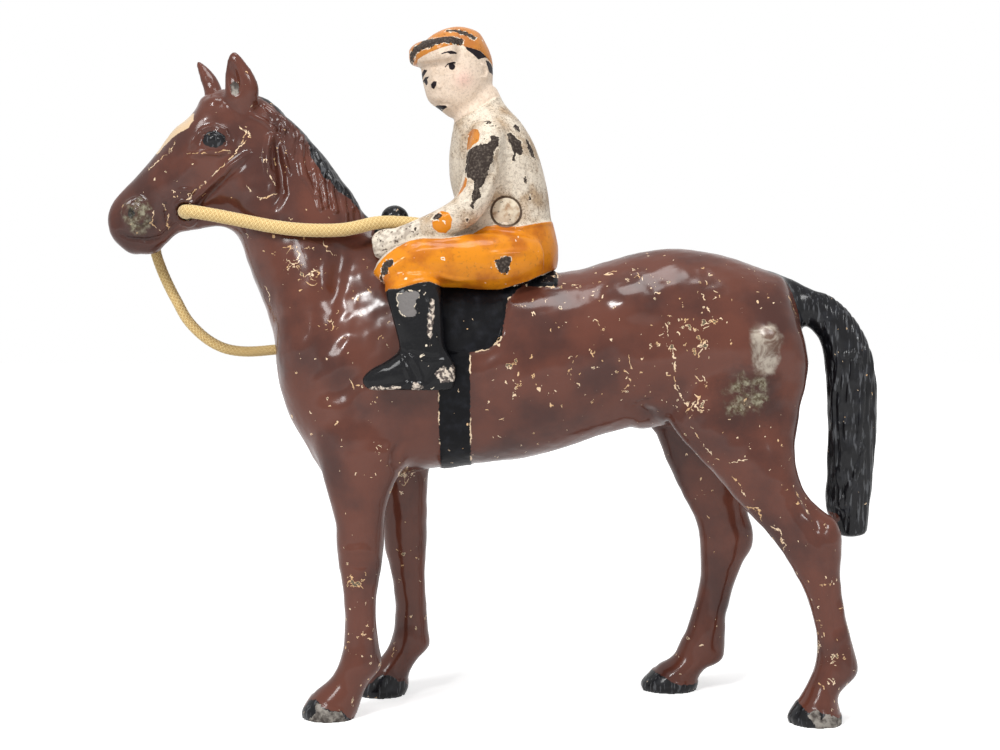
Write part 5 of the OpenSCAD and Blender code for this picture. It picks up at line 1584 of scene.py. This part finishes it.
class Mixer:
    """Adds nodes to one network."""

    def __init__(self, tree):
        self.tree = tree
        self.place = None

    def join(self, made, inputs):
        """Sets a node's inputs, or joins them to values."""
        for key, value in inputs.items():
            if isinstance(value, Value):
                self.tree.links.new(value.socket, made.inputs[key])
            else:
                made.inputs[key].default_value = value

    def node(self, kind, inputs, *outputs, **options):
        """Adds a node with these options and inputs; gives the outputs, or the first."""
        made = self.tree.nodes.new(kind)
        for option, value in options.items():
            setattr(made, option, value)
        self.join(made, inputs)
        given = [Value(self, made.outputs[output]) for output in outputs or (0,)]
        return given if len(given) > 1 else given[0]

    def vectors(self, operation, inputs, output=0):
        """A Vector Math node's result."""
        return self.node("ShaderNodeVectorMath", inputs, output, operation=operation)

    def noise(self, size, detail=2.0, rough=0.5, bend=0.0, place=None):
        """Noise whose grains are about size millimetres wide."""
        inputs = {"Vector": place or self.place, "Scale": 1 / size, "Detail": detail,
                  "Roughness": rough, "Distortion": bend}
        return self.node("ShaderNodeTexNoise", inputs, "Fac")

    def blended(self, share, a, b):
        """Colour a where share is 0, colour b where it is 1."""
        return self.node("ShaderNodeMix", {0: share, 6: a, 7: b}, 2, data_type="RGBA")

    def kept(self, name):
        """A number kept on the points of the piece."""
        return self.node("ShaderNodeAttribute", {}, "Fac", attribute_name=name)

    def seen_directly(self):
        """1 for what the camera sees, also in gloss or through glass, 0 for lighting."""
        camera, glossy, through = self.node("ShaderNodeLightPath", {}, "Is Camera Ray",
                                            "Is Glossy Ray", "Is Transmission Ray")
        return camera.larger(glossy.larger(through))


class Material(Mixer):
    """A new material."""

    def __init__(self, name):
        self.made = bpy.data.materials.new(name)
        self.made.use_nodes = True
        super().__init__(self.made.node_tree)
        self.shader = self.tree.nodes["Principled BSDF"]

    def in_millimetres(self):
        """Lays the patterns out by the place on the object in millimetres."""
        place = self.node("ShaderNodeTexCoord", {}, "Object")
        self.place = self.vectors("SCALE", {0: place, "Scale": 1000.0})

    def shade(self, inputs):
        """Sets or joins the shader's inputs."""
        self.join(self.shader, inputs)

    def bumped(self, height, distance):
        """Joins a height in millimetres to the shader's normal."""
        bump = {"Height": height, "Distance": distance * MM}
        self.shade({"Normal": self.node("ShaderNodeBump", bump, "Normal")})

    def put_on(self, *pieces):
        """Gives the pieces this material and no other."""
        for piece in pieces:
            piece.data.materials.clear()
            piece.data.materials.append(self.made)
        print(self.made.name + ":", len(self.tree.nodes), "nodes")


def linear(red, green, blue):
    """A colour read as on a screen, from 0 to 255, in the light values that Blender mixes."""
    return tuple(((c / 255 + 0.055) / 1.055) ** 2.4 if c > 10 else c / 255 / 12.92
                 for c in (red, green, blue)) + (1.0,)


# %% [markdown]
# ## Chips in the enamel
# Old enamel comes off a casting in small crooked flakes, often in clusters. A flake is
# where a fine noise crosses its middle value, which gives thin curls, and only inside
# the grains of a second noise, which breaks the curls up. Rounder spots come from a third
# noise, and the heart of a spot goes down to the iron. The amount says how many.

# %% Chip pattern
def chip_group():
    """A shared group: place and amount in, flake and bare heart out."""
    group = bpy.data.node_groups.new("enamel chips", "ShaderNodeTree")
    for name, kind, way in (("Place", "NodeSocketVector", "INPUT"),
                            ("Amount", "NodeSocketFloat", "INPUT"),
                            ("Flake", "NodeSocketFloat", "OUTPUT"),
                            ("Heart", "NodeSocketFloat", "OUTPUT")):
        group.interface.new_socket(name, in_out=way, socket_type=kind)
    m = Mixer(group)
    m.place, amount = m.node("NodeGroupInput", {}, "Place", "Amount")
    end = group.nodes.new("NodeGroupOutput")
    curl = abs(m.noise(4.2, detail=2, rough=0.55, bend=0.5) - 0.5)
    grains = m.noise(2.6, detail=1)
    limit = 0.73 - amount * 0.17
    flake = (grains - limit).edge(0.0, 0.02) * (1.0 - curl.edge(0.018, 0.026))
    # A place moved away, so that this noise doesn't repeat the others
    elsewhere = m.vectors("ADD", {0: m.place, 1: (37.0, 11.0, 53.0)})
    over = m.noise(2.8, detail=3, rough=0.65, place=elsewhere) - limit
    m.join(end, {"Flake": flake.larger(over.edge(0.012, 0.02)), "Heart": over.edge(0.04, 0.055)})
    return group


CHIPS = chip_group()


def chips(m, amount):
    """Where the enamel has come off: flakes to the ground coat, hearts to the iron."""
    return m.node("ShaderNodeGroup", {"Place": m.place, "Amount": amount}, "Flake", "Heart",
                  node_tree=CHIPS)


print("chips:", len(CHIPS.nodes), "nodes")

# %% [markdown]
# ## The horse's enamel
# Brown enamel, brushed black on the saddle, the mane, the tail and the hooves, on a
# cream ground coat over iron. The coats are mixed in this order: brown, black, the cream
# blaze, the chips through all of them, the chipped rim of the saddle, the grey patina,
# and last the bare iron of the hip and the hooves.

# %% Colours of the horse
BROWN, BROWN_DEEP, BROWN_DARKENED = linear(97, 53, 40), linear(70, 38, 31), linear(52, 33, 29)
BLACK, BLACK_GREY, HAIR_GREY_WEAR_AND_SHEEN = linear(13, 13, 16), linear(30, 31, 36), linear(116, 118, 122)
GROUND, TAN, BLAZE_CREAM = linear(240, 212, 178), linear(220, 178, 130), linear(214, 186, 150)
IRON, IRON_PALE, IRON_IN_CHIPS = linear(78, 72, 68), linear(156, 150, 142), linear(96, 84, 66)
PATINA_DARK, PATINA_PALE = linear(92, 82, 64), linear(160, 156, 134)
HIP_DARK, HIP_PALE = linear(88, 66, 55), linear(156, 146, 133)

# %% Horse enamel
m = Material("horse enamel")
m.in_millimetres()
ragged = (m.noise(1.1, 3) - 0.5) * 1.1
black_share = (m.kept("black") + ragged).edge(-0.12, 0.12)
cream_share = (m.kept("cream") + ragged).edge(-0.1, 0.2)
metal_share = (m.kept("metal") + ragged * 1.6).edge(-0.05, 0.15)
brown = m.blended(m.noise(16, 4).edge(0.38, 0.7), BROWN, BROWN_DEEP)
# Darker brown in a wide soft zone round the patina at the nostril and on the hip
darkened_near_patina = (m.kept("patina") + ragged * 5).edge(-7, 1) * 0.6
brown = m.blended(darkened_near_patina, brown, BROWN_DARKENED)
black_paint = m.blended(m.noise(3, 4).edge(0.45, 0.8), BLACK, BLACK_GREY)
leather = m.kept("flap").edge(-0.2, 0.2)
# Pale grey streaks down the black hair: partly worn paint on the ridges, partly painted highlight
drawn_out = m.vectors("MULTIPLY", {0: m.place, 1: (1.0, 1.0, 0.16)})
strand = m.noise(0.9, 3, place=drawn_out).edge(0.55, 0.66) * (0.4 - leather * 0.4)
black_paint = m.blended(strand, black_paint, HAIR_GREY_WEAR_AND_SHEEN)
colour = m.blended(black_share, brown, black_paint)
colour = m.blended(cream_share, colour, BLAZE_CREAM)
flake, heart = chips(m, m.kept("scuff"))
# Crooked lines of chips join the flakes, among them the painted highlights along the jowl and under
# the eye
bent = abs(m.kept("curl") + (m.noise(1.5, 3) - 0.5) * 2.2)
curl = (1.0 - bent.edge(0.09, 0.23)) * m.kept("near_curl").edge(0.3, 0.5)
curl = curl * m.noise(1.8, 2).edge(0.45, 0.5)
flake = flake.larger(curl)
colour = m.blended(flake, colour, m.blended(m.noise(5, 2).edge(0.42, 0.6), GROUND, TAN))
colour = m.blended(heart, colour, IRON_IN_CHIPS)
rim = 1.0 - abs(m.kept("flap") + ragged).edge(0.1, 0.25)
colour = m.blended(rim * m.noise(7, 4).edge(0.5, 0.54), colour, GROUND)
torn = (m.noise(2.4, 4) - 0.5) * 7.0
patina = (m.kept("patina") + torn).edge(-1.4, 2.0) * m.noise(2.6, 5, 0.62).edge(0.36, 0.6)
patina = patina * 0.85
grey = m.blended(m.noise(1.4, 5, 0.65).edge(0.4, 0.6), PATINA_DARK, PATINA_PALE)
colour = m.blended(patina, colour, grey)
bare_hip = (m.kept("hip") + torn * 0.45).edge(-0.7, 1.3)
streak = m.noise(5.5, 5, 0.6, bend=0.6).edge(0.4, 0.6)
colour = m.blended(bare_hip, colour, m.blended(streak, HIP_DARK, HIP_PALE))
iron = m.blended(m.noise(2.4, 5, 0.62).edge(0.36, 0.62), IRON, IRON_PALE)
colour = m.blended(metal_share, colour, iron)

# %% Horse gloss and relief
bare = metal_share.larger(patina)
dull = bare.larger(flake)
coat = 0.52 - leather * 0.28 - black_share * 0.14
m.shade({"Base Color": colour, "Metallic": bare_hip * 0.6, "Specular IOR Level": 0.05,
         "Roughness": 0.3 + m.noise(6, 4) * 0.22 + dull * 0.15,
         "Coat Weight": (1.0 - bare) * coat, "Coat Roughness": 0.15})
height = m.noise(2.6, 3) * 0.3 + m.noise(9, 2) * 1.3 + m.noise(0.5, 2) * 0.06 - dull * 0.35
m.bumped(height, 0.35)
m.put_on(horse_left, horse_right)

# %% [markdown]
# ## The rider's enamel
# The same enamels in other colours: a cream shirt that has come off in big flakes, an
# orange cap and trousers, black boots, and a pink cheek that was dabbed on wet. The
# cap is more faded than the trousers and the face is cleaner than the hands, so a value
# that is 1 high up tells them apart.

# %% Colours of the rider
SHIRT, SHIRT_DIRT, SHIRT_SPECKS = linear(226, 214, 196), linear(184, 160, 132), linear(120, 102, 88)
SHIRT_CRACKS, SHIRT_RIM = linear(140, 118, 98), linear(236, 222, 200)
ORANGE, ORANGE_DEEP = linear(218, 134, 24), linear(184, 102, 22)
CAP_FADED, ORANGE_GRIME = linear(176, 122, 74), linear(122, 76, 34)
SKIN, SKIN_TAN, SKIN_SPECKS = linear(236, 216, 196), linear(206, 182, 156), linear(150, 128, 110)
HAND_PALE, HAND_DULL, HAND_SPOTS = linear(224, 214, 198), linear(184, 172, 158), linear(84, 70, 62)
CHEEK, HAIR_DARK, RIVET_RING_BROWN = linear(238, 194, 180), linear(38, 32, 36), linear(74, 52, 38)
SOOT, SOOT_PALE, SOOT_ON_BOOTS = linear(58, 50, 46), linear(112, 102, 92), linear(122, 118, 116)
BOOT_GROUND_AND_GLINT, BOOT_SPOTS = linear(222, 208, 192), linear(84, 74, 70)

# %% Rider enamel
m = Material("rider enamel")
m.in_millimetres()
ragged = (m.noise(0.9, 6, 0.65) - 0.5) * 1.0
cloud = m.noise(7, 4)
speckle = m.noise(0.7, 5, 0.75).edge(0.5, 0.6)
high_up = m.node("ShaderNodeSeparateXYZ", {0: m.place}, "Z").edge(150, 160)
shirt = m.blended(cloud.edge(0.42, 0.72), SHIRT, SHIRT_DIRT)
shirt = m.blended(speckle * (0.25 + cloud.edge(0.36, 0.6) * 0.5), shirt, SHIRT_SPECKS)
crack = abs(m.noise(2.4, 4, 0.6) - 0.5)
shirt = m.blended((1.0 - crack.edge(0.004, 0.016)) * 0.5, shirt, SHIRT_CRACKS)
skin = m.blended(m.noise(1.6, 4).edge(0.4, 0.8) * 0.5, SKIN, SKIN_TAN)
skin = m.blended(m.kept("cheek") * 0.65, skin, CHEEK)
skin = m.blended(speckle * 0.3, skin, SKIN_SPECKS)
hand = m.blended(m.noise(1.6, 4).edge(0.42, 0.6), HAND_PALE, HAND_DULL)
hand = m.blended(m.noise(0.9, 3).edge(0.62, 0.67), hand, HAND_SPOTS)
skin = m.blended(high_up, hand, skin)
colour = m.blended((m.kept("skin") + ragged).edge(-0.1, 0.3), shirt, skin)
orange_share = (m.kept("orange") + ragged * 0.6).edge(-0.08, 0.08)
orange_paint = m.blended(cloud.edge(0.4, 0.66), ORANGE, ORANGE_DEEP)
orange_paint = m.blended(high_up * 0.45, orange_paint, CAP_FADED)
grime = m.noise(1.1, 5, 0.7).edge(0.55, 0.68) * 0.6 * (0.6 + high_up)
orange_paint = m.blended(grime, orange_paint, ORANGE_GRIME)
colour = m.blended(orange_share, colour, orange_paint)
boots_share = (m.kept("boots") + ragged * 0.5).edge(-0.08, 0.08)
colour = m.blended(boots_share, colour, BLACK)
dark_share = (m.kept("dark") + ragged * 0.35).edge(-0.05, 0.07)
colour = m.blended(dark_share, colour, HAIR_DARK)
torn = (m.noise(1.7, 6, 0.7) - 0.5) * 2.6
chip_depth = m.kept("chips") + torn
chip_rim = chip_depth.edge(-0.34, -0.16) * m.noise(1.3, 3).edge(0.47, 0.55)
chip_share = chip_depth.edge(0.0, 0.1)
flake, heart = chips(m, m.kept("scuff"))
colour = m.blended(flake.larger(chip_rim), colour, SHIRT_RIM)
soot = m.blended(m.noise(0.7, 4).edge(0.45, 0.8), SOOT, SOOT_PALE)
soot = m.blended(boots_share, soot, SOOT_ON_BOOTS)
colour = m.blended(heart.larger(chip_share), colour, soot)
# One pale colour for the chips to the ground coat and for the painted highlight on the boot
pale_chips_and_glint = m.blended(m.noise(1.1, 4, 0.6).edge(0.44, 0.56), BOOT_GROUND_AND_GLINT, BOOT_SPOTS)
colour = m.blended((m.kept("pale_chips_and_glint") + torn).edge(-0.1, 0.1), colour, pale_chips_and_glint)
# A dark brown line round the rivet's seat
ring = (m.kept("ring") + ragged * 0.5).edge(-0.1, 0.15)
colour = m.blended(ring * 0.85, colour, RIVET_RING_BROWN)

# %% Rider gloss and relief
coat = (orange_share * 0.3).larger(boots_share * 0.3)
m.shade({"Base Color": colour, "Specular IOR Level": 0.06,
         "Roughness": 0.3 + m.noise(5, 4) * 0.2 + chip_share * 0.2,
         "Coat Weight": coat.math("SUBTRACT", coat, chip_share, clamp=True),
         "Coat Roughness": 0.11})
height = m.noise(1.5, 4) * 0.4 + m.noise(1.2, 4, 0.65) * (boots_share * 1.5)
height = height - chip_share * 0.5 + orange_share.larger(dark_share) * 0.15
m.bumped(height, 0.3)
m.put_on(rider_left, rider_right)

# %% [markdown]
# ## Steel and cotton
# The rivets are mild steel. The rider's was painted over with the shirt, and the hip's
# is filed flush and dull. The cord is cotton, yellowed by age, and darker between strands,
# which is painted shade in the creases of the braid.

# %% Rivets
m = Material("rivet steel")
m.in_millimetres()
tone = m.noise(1.5, 4)
m.shade({"Base Color": m.blended(tone, linear(120, 112, 100), linear(168, 160, 146)),
         "Roughness": 0.35 + tone * 0.3, "Metallic": 0.6})
m.bumped(tone, 0.1)
m.put_on(bpy.data.objects["shoulder_rivet"], bpy.data.objects["hip_rivet"])

m = Material("painted rivet")
m.in_millimetres()
tone = m.noise(2.2, 4)
paint = m.blended(tone.edge(0.4, 0.7), linear(212, 198, 174), linear(158, 126, 94))
paint = m.blended(m.noise(0.9, 3).edge(0.66, 0.7), paint, linear(70, 60, 56))
m.shade({"Base Color": paint, "Roughness": 0.3 + tone * 0.25})
m.bumped(tone, 0.15)
m.put_on(bpy.data.objects["rider_rivet"])

# %% Cotton cord
m = Material("cotton cord")
m.in_millimetres()
fibre = m.noise(0.35, 3)
# Darker where the braid is low, lighter where a strand lies on top: painted shade in the creases of
# the braid
tone = m.blended(m.kept("braid").edge(0.05, 0.7), linear(172, 128, 66), linear(238, 212, 152))
tone = m.blended(fibre.edge(0.4, 0.75) * 0.35, tone, linear(206, 166, 102))
grains = m.noise(0.6, 4, 0.7).edge(0.54, 0.66)
tone = m.blended(grains * 0.45, tone, linear(176, 132, 68))
m.shade({"Base Color": tone, "Roughness": 0.85, "Specular IOR Level": 0.2, "Sheen Weight": 0.3})
m.bumped(fibre, 0.12)
m.put_on(reins, knot)

# %% [markdown]
# ## Floor, light and world
# The photograph was taken in a white light tent: soft light from every side, a stronger
# lamp high on the left, and a floor that burns out to white. The camera and the glossy
# rays see the world as plain white, and the light that falls on the toy is weaker. The
# floor glows in the same rays, and more so further out.

# %% Floor
FLOOR_GLOW, FAR_GLOW = 0.6, 0.6
bm = bmesh.new()
bmesh.ops.create_grid(bm, x_segments=1, y_segments=1, size=4)
floor = new_piece("floor", bm)
m = Material("floor paper")
place = m.node("ShaderNodeTexCoord", {}, "Object")
away = m.vectors("LENGTH", {0: place}, "Value")
glow = FLOOR_GLOW + away.edge(0.3, 1.0) * FAR_GLOW
m.shade({"Base Color": (0.9, 0.9, 0.9, 1), "Roughness": 0.9, "Specular IOR Level": 0.0,
         "Emission Color": (1, 1, 1, 1), "Emission Strength": m.seen_directly() * glow})
m.put_on(floor)

# %% World
WORLD_LIGHT = 0.25
world = bpy.data.worlds.new("light tent")
bpy.context.scene.world = world
world.use_nodes = True
m = Mixer(world.node_tree)
strength = WORLD_LIGHT + m.seen_directly() * (1 - WORLD_LIGHT)
m.join(m.tree.nodes["Background"], {"Color": (1, 1, 1, 1), "Strength": strength})
print("world: light", WORLD_LIGHT, "where it isn't seen")

# %% Lamps
# Name, place in metres, side of the square in metres, power in watts
LAMPS = (
    ("lamp_left", (-0.50, -0.70, 0.58), 0.26, 3.8),
    ("lamp_right", (0.55, -0.70, 0.50), 0.18, 2.2),
    ("lamp_top", (0.03, -0.16, 0.82), 0.3, 2.6),
    ("lamp_glint", (-0.26, -0.60, 0.62), 0.06, 1.2),
)
LAMPS_AIM = Vector((0, 0, 0.1))
for name, at, size, energy in LAMPS:
    lamp_data = bpy.data.lights.new(name, "AREA")
    lamp_data.energy = energy
    lamp_data.size = size
    lamp = bpy.data.objects.new(name, lamp_data)
    lamp.location = at
    lamp.rotation_euler = (LAMPS_AIM - Vector(at)).to_track_quat("-Z", "Y").to_euler()
    bpy.context.scene.collection.objects.link(lamp)
bpy.context.scene.view_settings.view_transform = "Standard"
print("lamps:", len(LAMPS))
